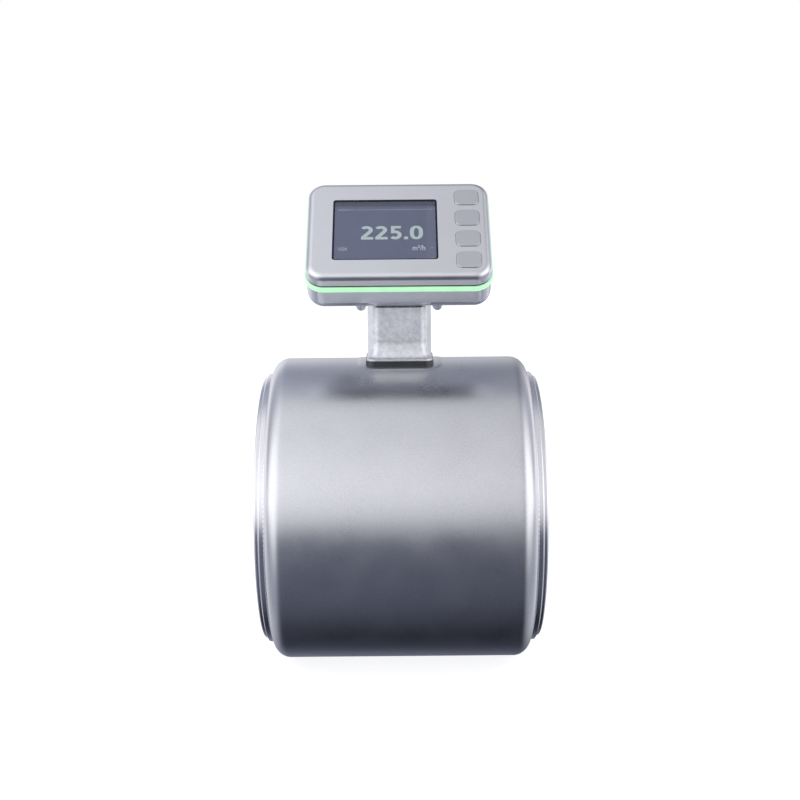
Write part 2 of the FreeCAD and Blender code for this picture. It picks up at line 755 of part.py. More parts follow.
def coil_core(name, angle):
    """Round core, hollowed below to sit on the shoe and crowned above to meet the yoke."""
    body = new_body(name, turned_about_x(angle))
    base = new_sketch(body, f"{name}_base", lift=f"sqrt({SHOE_OUTER}^2 - core_radius^2) - cut_margin")
    circle(base, "core_radius")
    pad(body, base, f"{YOKE_INNER} - sqrt({SHOE_OUTER}^2 - core_radius^2) + 2 * cut_margin")
    turned_cut(body, f"{name}_foot", "core_radius", f"{SHOE_OUTER} / 2", SHOE_OUTER)
    turned_cut(body, f"{name}_crown", "core_radius", YOKE_INNER, f"{YOKE_INNER} + core_radius")


def coil_bobbin(name, angle):
    """Plastic bobbin that slides over the core."""
    body = new_body(name, turned_about_x(angle))
    hub = f"({CORE_HOLE} + bobbin_hub_wall)"
    section = new_sketch(body, f"{name}_section", "XZ_Plane")
    outline(section, [
        (CORE_HOLE, BOBBIN_BASE),
        ("bobbin_radius", BOBBIN_BASE),
        ("bobbin_radius", f"{BOBBIN_BASE} + bobbin_flange"),
        (hub, f"{BOBBIN_BASE} + bobbin_flange"),
        (hub, f"{BOBBIN_TOP} - bobbin_flange"),
        ("bobbin_radius", f"{BOBBIN_TOP} - bobbin_flange"),
        ("bobbin_radius", BOBBIN_TOP),
        (CORE_HOLE, BOBBIN_TOP),
    ])
    turn(body, section, "V_Axis")


def coil_winding(name, angle):
    """Copper winding that fills the bobbin."""
    body = new_body(name, turned_about_x(angle))
    hub = f"({CORE_HOLE} + bobbin_hub_wall)"
    rim = "(bobbin_radius - winding_inset)"
    low = f"({BOBBIN_BASE} + bobbin_flange)"
    high = f"({BOBBIN_TOP} - bobbin_flange)"
    section = new_sketch(body, f"{name}_section", "XZ_Plane")
    outline(section, [(hub, low), (rim, low), (rim, high), (hub, high)])
    turn(body, section, "V_Axis")


def magnet_yoke():
    """Steel return ring with four posts that carry the sensor board."""
    body = new_body("magnet_yoke")
    section = new_sketch(body, "yoke_section", "XZ_Plane")
    outline(section, [
        ("-yoke_half_length", YOKE_INNER),
        ("yoke_half_length", YOKE_INNER),
        ("yoke_half_length", YOKE_OUTER),
        ("-yoke_half_length", YOKE_OUTER),
    ])
    turn(body, section, "H_Axis")
    post_y = "(sensor_board_half_width - post_edge)"
    root = f"(sqrt({YOKE_OUTER}^2 - ({post_y} + post_radius)^2) - post_root)"
    post = new_sketch(body, "board_post", lift=root)
    circle(post, "post_radius", "yoke_half_length - post_inset", post_y)
    four_times(body, pad(body, post, f"{SENSOR_BOARD_BASE} - {root}"))


def sensor_board():
    """Preamplifier board under the neck, on the yoke's posts."""
    body = new_body("sensor_board")
    board = new_sketch(body, "sensor_board_outline", lift=SENSOR_BOARD_BASE)
    rounded_box(board, "yoke_half_length + sensor_board_overhang", "sensor_board_half_width", "board_corner")
    pad(body, board, "board_thickness")


# ---------------------------------------------------------------- electrodes

def stud(name):
    """Electrode or probe: flat head flush with the lining and a threaded stem."""
    body = new_body(name, STUD_PLACES[name])
    section = new_sketch(body, f"{name}_section", "XZ_Plane")
    outline(section, [
        ("0", "bore_radius"),
        ("stud_head_radius", "bore_radius"),
        ("stud_head_radius", "bore_radius + stud_head_height"),
        ("stud_radius", "bore_radius + stud_head_height"),
        ("stud_radius", STUD_TOP),
        ("0", STUD_TOP),
    ])
    turn(body, section, "V_Axis")


def stud_bush(name):
    """Insulating bush round a stem, through the wall of the tube."""
    body = new_body(f"{name}_bush", STUD_PLACES[name])
    flange = f"({BUSH_RADIUS} + bush_flange)"
    section = new_sketch(body, f"{name}_bush_section", "XZ_Plane")
    outline(section, [
        (STUD_HOLE, TUBE_INNER),
        (BUSH_RADIUS, TUBE_INNER),
        (BUSH_RADIUS, TUBE_OUTER),
        (flange, TUBE_OUTER),
        (flange, f"{TUBE_OUTER} + bush_flange_height"),
        (STUD_HOLE, f"{TUBE_OUTER} + bush_flange_height"),
    ])
    turn(body, section, "V_Axis")


def electrode_nuts():
    """Nuts of the four stems, one solid each."""
    base = f"({TUBE_OUTER} + bush_flange_height)"
    nuts = []
    for name, place in STUD_PLACES.items():
        nut = doc.addObject("Part::Prism", f"{name}_nut")
        nut.Polygon = 6
        bind(nut, "Circumradius", "nut_half_width / cos(30)")
        bind(nut, "Height", "nut_height")
        bore = doc.addObject("Part::Cylinder", f"{name}_nut_bore")
        bind(bore, "Radius", STUD_HOLE)
        bind(bore, "Height", "nut_height")
        for solid in (nut, bore):
            bind(solid, "Placement.Base.z", base)
        ring = doc.addObject("Part::Cut", f"{name}_nut_ring")
        ring.Base, ring.Tool = nut, bore
        place(ring)
        nuts.append(ring)
    group = doc.addObject("Part::Compound", "electrode_nuts")
    group.Links = nuts
    PIECES.append(group)


# ---------------------------------------------------------------- neck

def neck_section(sketch, widening):
    """Draw the neck's outline: narrower in front, widened by a share of the flare."""
    front = f"(neck_front_half_width + ({BASE_HALF_WIDTH} - neck_front_half_width) * {widening})"
    rear = f"(neck_rear_half_width + ({BASE_HALF_WIDTH} - neck_rear_half_width) * {widening})"
    depth = f"(neck_half_depth + ({BASE_HALF_DEPTH} - neck_half_depth) * {widening} - neck_corner)"
    rounded(sketch, [
        (f"-({front} - neck_corner)", f"-{depth}", "neck_corner"),
        (f"{front} - neck_corner", f"-{depth}", "neck_corner"),
        (f"{rear} - neck_corner", depth, "neck_corner"),
        (f"-({rear} - neck_corner)", depth, "neck_corner"),
    ])


def neck():
    """Cast neck: square base, hollow flare that follows a quarter ellipse, slanted top."""
    body = new_body("neck")
    flare_base = f"({NECK_BASE} + neck_base_edge)"
    flare_top = f"({flare_base} + neck_flare_height)"
    base = new_sketch(body, "neck_base", lift=NECK_BASE)
    neck_section(base, "1")
    pad(body, base, "neck_base_edge")
    sections = []
    for angle in (0, 22.5, 45, 67.5, 90):
        height = f"{flare_base} + neck_flare_height * (1 - cos({angle}))"
        section = new_sketch(body, f"neck_flare_{len(sections)}", lift=height)
        neck_section(section, f"(1 - sin({angle}))")
        sections.append(section)
    flare = body.newObject("PartDesign::AdditiveLoft", "neck_flare")
    flare.Profile = sections[0]
    flare.Sections = sections[1:]
    column = new_sketch(body, "neck_column", lift=flare_top)
    neck_section(column, "0")
    pad(body, column, f"{NECK_TOP} + neck_half_depth / tan(head_elevation) + cut_margin - {flare_top}")

    slant = new_sketch(body, "neck_slant", "YZ_Plane")
    outline(slant, slant_corners())
    pocket(body, slant, f"4 * {BASE_HALF_WIDTH}", both=True)
    cavity = new_sketch(body, "neck_cavity", lift=NECK_LEDGE)
    rounded_box(cavity, CAVITY_HALF_WIDTH, CAVITY_HALF_DEPTH, "neck_cavity_corner")
    pocket(body, cavity, "neck_height + neck_half_depth", reverse=True)
    floor_holes = new_sketch(body, "neck_floor_holes", lift=NECK_LEDGE)
    base_holes(floor_holes)
    pocket(body, floor_holes, "neck_ledge + cut_margin")
    tapped = new_sketch(body, "neck_top_holes")
    tapped.AttachmentOffset = FreeCAD.Placement(V(0, 0, 0), HEAD_TILT)
    bind(tapped, "AttachmentOffset.Rotation.Angle", "90 - head_elevation")
    bind(tapped, "AttachmentOffset.Base.z", NECK_TOP)
    head_screw_holes(tapped, TAPPED_SCREW, "0")
    pocket(body, tapped, "head_screw_length - housing_floor + head_screw_spare")


def slant_corners():
    """Return the cut above the slanted top: a square block resting on that plane."""
    reach = "(neck_half_depth * 4)"
    rise_y, rise_z = "sin(head_elevation)", "cos(head_elevation)"
    out_y, out_z = "(0 - cos(head_elevation))", "sin(head_elevation)"
    corners = []
    for along, out in ((f"-{reach}", "(0 - head_gasket)"), (reach, "(0 - head_gasket)"),
                       (reach, reach), (f"-{reach}", reach)):
        corners.append((f"{along} * {rise_y} + {out} * {out_y}",
                        f"{NECK_TOP} + {along} * {rise_z} + {out} * {out_z}"))
    return corners


def base_holes(sketch):
    """Draw the wire hole and the four screw holes at the foot of the neck."""
    circle(sketch, WIRE_HOLE)
    for side_x in ("-", ""):
        for side_y in ("-", ""):
            circle(sketch, LOOSE_SCREW, f"{side_x}{NECK_SCREW_X}", f"{side_y}{NECK_SCREW_Y}")


def neck_gasket():
    """Moulded gasket: flat on top for the neck, hollowed below to fit the drum."""
    body = new_body("neck_gasket")
    half_width = f"({BASE_HALF_WIDTH} + gasket_overhang)"
    half_depth = f"({BASE_HALF_DEPTH} + gasket_overhang)"
    floor = f"(sqrt({SEAT_RADIUS}^2 - {half_depth}^2) - cut_margin)"
    shape = new_sketch(body, "gasket_outline", lift=floor)
    rounded_box(shape, half_width, half_depth, "neck_corner + gasket_overhang")
    pad(body, shape, f"{NECK_BASE} - {floor}")
    turned_cut(body, "gasket_saddle", half_width, f"{SEAT_RADIUS} / 2", SEAT_RADIUS)
    holes = new_sketch(body, "gasket_holes", lift=NECK_BASE)
    base_holes(holes)
    pocket(body, holes, f"{NECK_BASE} - {floor} + cut_margin")


def cap_screw(body, name, x, y, seat, radius, length, head_radius, head_height):
    """Turn one screw standing on its seat, its head above with a hexagon socket, its stem below."""
    sketch = new_sketch(body, f"{name}_section", "XZ_Plane", lift=f"-({y})")
    bind(sketch, "AttachmentOffset.Base.x", x)
    bind(sketch, "AttachmentOffset.Base.y", seat)
    outline(sketch, [
        ("0", f"-({length})"),
        (radius, f"-({length})"),
        (radius, "0"),
        (head_radius, "0"),
        (head_radius, head_height),
        ("0", head_height),
    ])
    screw = turn(body, sketch, "V_Axis")
    drive = new_sketch(body, f"{name}_socket", lift=f"{seat} + {head_height}")
    hexagon(drive, f"{head_radius} * socket_share", x, y)
    return [screw, pocket(body, drive, f"{head_height} / 2")]


def neck_screws():
    """Four screws inside the neck that hold it to the drum."""
    body = new_body("neck_screws")
    length = f"{NECK_LEDGE} - {BOSS_END} - neck_screw_spare"
    screw = cap_screw(body, "neck_screw", NECK_SCREW_X, NECK_SCREW_Y, NECK_LEDGE,
                      "screw_radius", length, "screw_head_radius", "screw_head_height")
    four_times(body, screw)


# ---------------------------------------------------------------- head

def head_gasket():
    """Flat gasket between the neck's slanted top and the back of the head."""
    body = new_body("head_gasket", on_head)
    front = "(neck_front_half_width - head_gasket_inset - neck_corner)"
    rear = "(neck_rear_half_width - head_gasket_inset - neck_corner)"
    half_slope = "(neck_half_depth / sin(head_elevation) - head_gasket_inset - neck_corner)"
    shape = new_sketch(body, "head_gasket_outline", lift="-head_gasket")
    rounded(shape, [
        (f"-{front}", f"{NECK_ROW} - {half_slope}", "neck_corner"),
        (front, f"{NECK_ROW} - {half_slope}", "neck_corner"),
        (rear, f"{NECK_ROW} + {half_slope}", "neck_corner"),
        (f"-{rear}", f"{NECK_ROW} + {half_slope}", "neck_corner"),
    ])
    rounded_box(shape, CAVITY_HALF_WIDTH, CAVITY_HALF_SLOPE, "neck_cavity_corner", y=NECK_ROW)
    head_screw_holes(shape, LOOSE_SCREW, NECK_ROW)
    pad(body, shape, "head_gasket")


def head_screw_holes(sketch, radius, middle):
    """Draw the four holes of the head screws, about a middle on the slope."""
    for x in (f"-{HEAD_SCREW_X}", HEAD_SCREW_X):
        for side in ("-", "+"):
            circle(sketch, radius, x, f"{middle} {side} head_screw_row")


def head_screws():
    """Four screws from inside the rear housing into the neck."""
    body = new_body("head_screws", on_head)
    screw = cap_screw(body, "head_screw", HEAD_SCREW_X, f"{NECK_ROW} - head_screw_row", "housing_floor",
                      "screw_radius", "head_screw_length", "screw_head_radius", "screw_head_height")
    repeat(body, screw, ("Mirrored", "YZ_Plane", 2, None),
           ("LinearPattern", "Y_Axis", 2, "2 * head_screw_row"))


def rear_housing():
    """Polished rear half of the head: shell, screw bosses, board posts, neck opening, socket seat."""
    body = new_body("rear_housing", on_head)
    back = new_sketch(body, "housing_back")
    rounded_box(back, HEAD_HALF_WIDTH, HEAD_HALF_HEIGHT, "head_corner")
    pad(body, back, "housing_depth")
    round_edges(body, "housing_round", lambda edge: lies_at(edge, "0"))
    hollow = new_sketch(body, "housing_hollow", lift="housing_floor")
    head_outline(hollow, "housing_wall")
    pocket(body, hollow, "housing_depth", reverse=True)
    round_edges(body, "housing_round - housing_wall", lambda edge: lies_at(edge, "housing_floor"))

    boss = new_sketch(body, "housing_boss", lift="-housing_boss_proud")
    circle(boss, "housing_boss_radius", "cover_screw_spread", COVER_SCREW_Y)
    four_times(body, pad(body, boss, f"{COVER_BOSS_END} + housing_boss_proud"))
    hole = new_sketch(body, "housing_boss_hole", lift=COVER_BOSS_END)
    circle(hole, LOOSE_SCREW, "cover_screw_spread", COVER_SCREW_Y)
    four_times(body, pocket(body, hole, f"{COVER_BOSS_END} + housing_boss_proud + cut_margin"))

    for side, place in (("left", BOARD_SCREW_LEFT), ("right", BOARD_SCREW_RIGHT)):
        post = new_sketch(body, f"housing_post_{side}", lift="housing_floor / 2")
        circle(post, "board_post_radius", place, "board_screw_row")
        column = pad(body, post, f"{BOARD_BASE} - housing_floor / 2")
        repeat(body, column, ("Mirrored", "XZ_Plane", 2, None))
        tap = new_sketch(body, f"housing_post_tap_{side}", lift=BOARD_BASE)
        circle(tap, "board_screw_radius + thread_clearance", place, "board_screw_row")
        drilled = pocket(body, tap, "board_screw_length")
        repeat(body, drilled, ("Mirrored", "XZ_Plane", 2, None))

    openings = new_sketch(body, "housing_openings", lift="housing_floor")
    rounded_box(openings, CAVITY_HALF_WIDTH, CAVITY_HALF_SLOPE, "neck_cavity_corner", y=NECK_ROW)
    circle(openings, f"{SOCKET_NECK} + thread_clearance", SOCKET_X)
    head_screw_holes(openings, LOOSE_SCREW, NECK_ROW)
    pocket(body, openings, "housing_floor + cut_margin")
    nut_seat = new_sketch(body, "housing_nut_seat", lift="housing_floor")
    circle(nut_seat, f"{SOCKET_NUT} / cos(30) + hole_clearance", SOCKET_X)
    pocket(body, nut_seat, "socket_nut_height", reverse=True)


def head_outline(sketch, inset):
    """Draw the head's rounded outline, moved inwards by an inset."""
    rounded_box(sketch, f"{HEAD_HALF_WIDTH} - ({inset})", f"{HEAD_HALF_HEIGHT} - ({inset})",
                f"head_corner - ({inset})")


def led_ring():
    """Light guide that stands a little proud all round the head."""
    body = new_body("led_ring", on_head)
    shape = new_sketch(body, "ring_outline", lift=RING_BASE)
    head_outline(shape, "0 - ring_overhang")
    pad(body, shape, "ring_thickness")
    round_edges(body, "ring_round", lambda edge: lies_at(edge, RING_BASE) or lies_at(edge, RING_TOP))
    hole = new_sketch(body, "ring_hole", lift=RING_TOP)
    head_outline(hole, "ring_width - ring_overhang")
    pocket(body, hole, "ring_thickness + cut_margin")


def cover_seal():
    """Thin gasket between the light guide and the front cover."""
    body = new_body("cover_seal", on_head)
    shape = new_sketch(body, "cover_seal_outline", lift=RING_TOP)
    head_outline(shape, "cover_seal_inset")
    head_outline(shape, "cover_seal_inset + cover_seal_width")
    pad(body, shape, "cover_seal_thickness")


def front_cover():
    """Front cover with its window, four key openings and blind screw bosses."""
    body = new_body("front_cover", on_head)
    front = new_sketch(body, "cover_outline", lift=COVER_BASE)
    rounded_box(front, HEAD_HALF_WIDTH, HEAD_HALF_HEIGHT, "head_corner")
    pad(body, front, "cover_height")
    round_edges(body, "cover_round", lambda edge: lies_at(edge, COVER_TOP))
    hollow = new_sketch(body, "cover_hollow", lift=COVER_INSIDE)
    head_outline(hollow, "cover_wall")
    pocket(body, hollow, "cover_height")

    openings = new_sketch(body, "cover_openings", lift=COVER_TOP)
    rounded_box(openings, "window_half_width", "window_half_height", "window_corner", WINDOW_X, WINDOW_Y)
    for row in range(4):
        rounded_box(openings, "key_half_width + key_clearance", f"{KEY_HALF_HEIGHT} + key_clearance",
                    "key_corner + key_clearance", KEY_X, key_row(row))
    pocket(body, openings, "cover_face + cut_margin")

    boss = new_sketch(body, "cover_boss", lift=COVER_BOSS_END)
    circle(boss, "cover_boss_radius", "cover_screw_spread", COVER_SCREW_Y)
    four_times(body, pad(body, boss, f"{COVER_INSIDE} - {COVER_BOSS_END} + cover_face / 2"))
    hole = new_sketch(body, "cover_boss_hole", lift=COVER_BOSS_END)
    circle(hole, TAPPED_SCREW, "cover_screw_spread", COVER_SCREW_Y)
    four_times(body, pocket(body, hole, "cover_screw_grip + cover_hole_spare", reverse=True))


def key_row(row):
    """Return the height of a key's middle on the face, the first key on top."""
    return f"({KEY_PITCH} * {1.5 - row} - key_drop)"


def cover_screws():
    """Four domed screws through the back of the head into the front cover."""
    body = new_body("cover_screws", on_head)
    tip = f"({COVER_BOSS_END} + housing_boss_proud + cover_screw_grip)"
    round_x = "(dome_radius - dome_height + dome_rim)"
    sketch = new_sketch(body, "cover_screw_section", "XZ_Plane", lift=f"-{COVER_SCREW_Y}")
    bind(sketch, "AttachmentOffset.Base.x", "cover_screw_spread")
    bind(sketch, "AttachmentOffset.Base.y", "-housing_boss_proud")
    outline(sketch, [
        ("0", "-dome_height"),
        (round_x, "-dome_height", (round_x, "-dome_rim", False)),
        ("dome_radius", "-dome_rim"),
        ("dome_radius", "0"),
        ("screw_radius", "0"),
        ("screw_radius", tip),
        ("0", tip),
    ])
    screw = turn(body, sketch, "V_Axis")
    drive = new_sketch(body, "cover_screw_socket", lift="-(housing_boss_proud + dome_height)")
    hexagon(drive, "dome_radius * socket_share", "cover_screw_spread", COVER_SCREW_Y)
    four_times(body, [screw, pocket(body, drive, "dome_height / 2", reverse=True)])


def display_window():
    """Stepped glass, glued behind the cover, its front a little below the face."""
    body = new_body("display_window", on_head)
    flange = new_sketch(body, "window_flange_outline", lift=WINDOW_BASE)
    rounded_box(flange, "window_half_width + window_flange", "window_half_height + window_flange",
                "window_corner + window_flange", WINDOW_X, WINDOW_Y)
    pad(body, flange, "window_flange_height")
    pane = new_sketch(body, "window_pane", lift=WINDOW_BASE)
    rounded_box(pane, "window_half_width - window_clearance", "window_half_height - window_clearance",
                "window_corner - window_clearance", WINDOW_X, WINDOW_Y)
    pad(body, pane, f"{COVER_TOP} - window_recess - {WINDOW_BASE}")


def display_module():
    """Flat display panel behind the glass."""
    body = new_body("display_module", on_head)
    panel = new_sketch(body, "module_outline", lift=MODULE_BASE)
    rounded_box(panel, MODULE_HALF_WIDTH, MODULE_HALF_HEIGHT, "module_corner",
                WINDOW_X, WINDOW_Y)
    pad(body, panel, "module_thickness")


def display_frame():
    """Plastic frame that holds the display off the main board."""
    body = new_body("display_frame", on_head)
    shape = new_sketch(body, "frame_outline", lift=BOARD_TOP)
    for inset in ("0", "frame_rail"):
        rounded_box(shape, f"{MODULE_HALF_WIDTH} - {inset}", f"{MODULE_HALF_HEIGHT} - {inset}", "module_corner",
                    WINDOW_X, WINDOW_Y)
    pad(body, shape, f"{MODULE_BASE} - {BOARD_TOP}")


def key(row):
    """Push key: a cap in its opening, a flange that holds it in and a stem to the mat."""
    name = f"key_{row + 1}"
    body = new_body(name, on_head)
    place = (KEY_X, key_row(row))
    flange = new_sketch(body, f"{name}_flange", lift=KEY_FLANGE_TOP)
    rounded_box(flange, "key_half_width + key_flange", f"{KEY_HALF_HEIGHT} + key_flange",
                "key_corner + key_flange", *place)
    pad(body, flange, "key_flange_height", reverse=True)
    cap = new_sketch(body, f"{name}_cap", lift=KEY_FLANGE_TOP)
    rounded_box(cap, "key_half_width", KEY_HALF_HEIGHT, "key_corner", *place)
    pad(body, cap, f"{KEY_TOP} - {KEY_FLANGE_TOP}")
    round_edges(body, "key_edge_round", lambda edge: lies_at(edge, KEY_TOP))
    stem = new_sketch(body, f"{name}_stem", lift=KEY_FLANGE_TOP)
    circle(stem, "key_stem_radius", *place)
    pad(body, stem, f"{KEY_FLANGE_TOP} - {KEY_STEM_END}", reverse=True)


def key_mat():
    """Rubber mat with a dome under each key."""
    body = new_body("key_mat", on_head)
    mat = new_sketch(body, "mat_outline", lift=BOARD_TOP)
    rounded_box(mat, "key_half_width + mat_margin", f"1.5 * {KEY_PITCH} + mat_dome_radius + mat_rim",
                "mat_dome_radius", KEY_X, "0 - key_drop")
    pad(body, mat, "mat_thickness")
    domes = new_sketch(body, "mat_domes", lift=f"{BOARD_TOP} + mat_thickness")
    for row in range(4):
        circle(domes, "mat_dome_radius", KEY_X, key_row(row))
    bind(pad(body, domes, "mat_dome_height"), "TaperAngle", "0 - mat_dome_slope")


def main_board():
    """Main board on the posts of the rear housing."""
    body = new_body("main_board", on_head)
    shape = new_sketch(body, "main_board_outline", lift=BOARD_TOP)
    rounded_box(shape, BOARD_HALF_WIDTH, BOARD_HALF_HEIGHT, "board_corner")
    for column in (BOARD_SCREW_LEFT, BOARD_SCREW_RIGHT):
        for row in ("-board_screw_row", "board_screw_row"):
            circle(shape, "board_screw_radius + hole_clearance", column, row)
    pad(body, shape, "board_thickness", reverse=True)


def board_screws():
    """Four small screws that hold the main board."""
    body = new_body("board_screws", on_head)
    screw = cap_screw(body, "board_screw", BOARD_SCREW_LEFT, "board_screw_row", BOARD_TOP,
                      "board_screw_radius", "board_screw_length", "board_screw_head_radius",
                      "board_screw_head_height")
    repeat(body, screw, ("Mirrored", "XZ_Plane", 2, None),
           ("LinearPattern", "X_Axis", 2, f"{BOARD_SCREW_RIGHT} - {BOARD_SCREW_LEFT}"))


def status_leds():
    """Eight light chips round the edge of the board, level with the light guide."""
    body = new_body("status_leds", on_head)
    shape = new_sketch(body, "led_outline", lift=BOARD_BASE)
    edge_y = f"({BOARD_HALF_HEIGHT} - led_inset - led_width / 2)"
    edge_x = f"({BOARD_HALF_WIDTH} - led_inset - led_width / 2)"
    for side in ("-", "+"):
        for x in ("-led_spread", "0", "led_spread"):
            box(shape, x, f"0 {side} {edge_y}", "led_length / 2", "led_width / 2")
        box(shape, f"0 {side} {edge_x}", "0", "led_width / 2", "led_length / 2")
    pad(body, shape, "led_height", reverse=True)


# ---------------------------------------------------------------- round plug socket

def on_socket(item):
    """Put an item on the socket's axis at the back of the head, +Z into the head."""
    on_head(item)
    bind(item, "Placement.Base.x", SOCKET_X)


def connector_socket():
    """Threaded metal shell of the socket, with its flange outside the housing."""
    body = new_body("connector_socket", on_socket)
    flange = f"({SOCKET_NECK} + socket_flange_rim)"
    section = new_sketch(body, "socket_section", "XZ_Plane")
    outline(section, [
        (SOCKET_INNER, f"-{SOCKET_TIP}"),
        ("socket_thread_radius", f"-{SOCKET_TIP}"),
        ("socket_thread_radius", f"-{SOCKET_FLANGE}"),
        (flange, f"-{SOCKET_FLANGE}"),
        (flange, "-socket_seal_height"),
        (SOCKET_NECK, "-socket_seal_height"),
        (SOCKET_NECK, "socket_inside_length"),
        (SOCKET_INNER, "socket_inside_length"),
    ])
    turn(body, section, "V_Axis")


def connector_seal():
    """Flat seal under the socket's flange."""
    body = new_body("connector_seal", on_socket)
    shape = new_sketch(body, "socket_seal_outline")
    circle(shape, f"{SOCKET_NECK} + socket_seal_rim")
    circle(shape, f"{SOCKET_NECK} + thread_clearance")
    pad(body, shape, "socket_seal_height", reverse=True)


def connector_nut():
    """Hexagon nut that clamps the socket from inside the head."""
    body = new_body("connector_nut", on_socket)
    shape = new_sketch(body, "socket_nut_outline", lift="housing_floor")
    hexagon(shape, SOCKET_NUT)
    circle(shape, f"{SOCKET_NECK} + thread_clearance")
    pad(body, shape, "socket_nut_height")


def connector_insert():
    """Plastic insert that carries the pins."""
    body = new_body("connector_insert", on_socket)
    shape = new_sketch(body, "insert_outline", lift=f"-{INSERT_FACE}")
    circle(shape, SOCKET_INNER)
    pad(body, shape, f"{INSERT_FACE} + socket_inside_length")


def connector_pins():
    """Four contact pins standing in the recess."""
    body = new_body("connector_pins", on_socket)
    shape = new_sketch(body, "pin_outline", lift=f"-{INSERT_FACE}")
    for side_x in ("-", ""):
        for side_y in ("-", ""):
            circle(shape, "pin_radius", f"{side_x}pin_circle * sin(45)", f"{side_y}pin_circle * sin(45)")
    pad(body, shape, "pin_length", reverse=True)


# ---------------------------------------------------------------- wiring

def wire_harness():
    """Wires from the sensor board up the neck, bent once, to the main board."""
    body = new_body("wire_harness")
    start_z = f"({SENSOR_BOARD_TOP} + harness_start_gap)"
    reach = f"({BOARD_BASE} - harness_start_gap)"
    end_y = f"(0 - {reach} * cos(head_elevation))"
    end_z = f"({NECK_TOP} + {reach} * sin(head_elevation))"
    path = new_sketch(body, "harness_path", "YZ_Plane")
    start = V(0, number(start_z), 0)
    corner = V(0, number(NECK_TOP), 0)
    end = V(number(end_y), number(end_z), 0)
    bend = number("harness_bend")
    cut_back = bend * math.tan(math.radians(90 - number("head_elevation")) / 2)
    heading = (end - corner) * (1 / (end - corner).Length)
    first, last = corner - V(0, cut_back, 0), corner + heading * cut_back
    centre = first - V(bend, 0, 0)
    upright = path.addGeometry(Part.LineSegment(start, first))
    angles = [0, math.atan2(last.y - centre.y, last.x - centre.x)]
    arc = path.addGeometry(Part.ArcOfCircle(Part.Circle(centre, V(0, 0, 1), bend), *angles))
    slope = path.addGeometry(Part.LineSegment(last, end))
    path.addConstraint(Sketcher.Constraint("Vertical", upright))
    path.addConstraint(Sketcher.Constraint("Tangent", upright, 2, arc, 1))
    path.addConstraint(Sketcher.Constraint("Tangent", arc, 2, slope, 1))
    fix_point(path, upright, 1, "0", start_z)
    fix_point(path, slope, 2, end_y, end_z)
    dimension(path, "Radius", arc, formula="harness_bend")
    ring = new_sketch(body, "harness_ring", lift=start_z)
    circle(ring, "harness_radius")
    pipe = body.newObject("PartDesign::AdditivePipe", "harness_tube")
    pipe.Profile = ring
    pipe.Spine = path
    pipe.Mode = "Frenet"


# ---------------------------------------------------------------- build

def build_pieces():
    """Build every piece of the meter."""
    drum_shell()
    for name, side in (("inlet", -1), ("outlet", 1)):
        end_plate(f"end_plate_{name}", side)
        process_seal(f"process_seal_{name}", side)
    measuring_tube()
    liner()
    for name, angle in (("upper", 0), ("lower", 180)):
        pole_shoe(f"pole_shoe_{name}", angle)
        coil_core(f"coil_core_{name}", angle)
        coil_bobbin(f"coil_bobbin_{name}", angle)
        coil_winding(f"coil_winding_{name}", angle)
    magnet_yoke()
    sensor_board()
    for name in STUD_PLACES:
        stud(name)
        stud_bush(name)
    electrode_nuts()
    neck()
    neck_gasket()
    neck_screws()
    head_gasket()
    head_screws()
    rear_housing()
    led_ring()
    cover_seal()
    front_cover()
    cover_screws()
    display_window()
    display_module()
    display_frame()
    for row in range(4):
        key(row)
    key_mat()
    main_board()
    board_screws()
    status_leds()
    connector_socket()
    connector_seal()
    connector_nut()
    connector_insert()
    connector_pins()
    wire_harness()


def check_document():
    """Stop if any object failed or any piece has no sound shape."""
    for item in doc.Objects:
        if "Invalid" in item.State or "Error" in item.State:
            raise RuntimeError(f"{item.Name} failed: {item.State}")
    for piece in PIECES:
        if piece.Shape.isNull() or not piece.Shape.isValid():
            raise RuntimeError(f"{piece.Label} has no sound shape")


def write_pieces():
    """Write each piece to its own STEP file."""
    os.makedirs("parts", exist_ok=True)
    for piece in PIECES:
        piece.Shape.exportStep(f"parts/{piece.Label}.step")


build_pieces()
doc.recompute()
check_document()
write_pieces()
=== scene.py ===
"""Looks of an electromagnetic flow meter: finishes, fine surfaces, display, light and camera.

Lengths are metres. The origin is on the pipe axis at the drum's middle, +X runs along the
flow, +Z is up, and the display looks towards -Y and up.
"""
from __future__ import annotations

import json
import logging
import math
from collections.abc import Sequence
from dataclasses import dataclass, field
from enum import Enum

import bpy
import numpy as np
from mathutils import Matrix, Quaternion, Vector

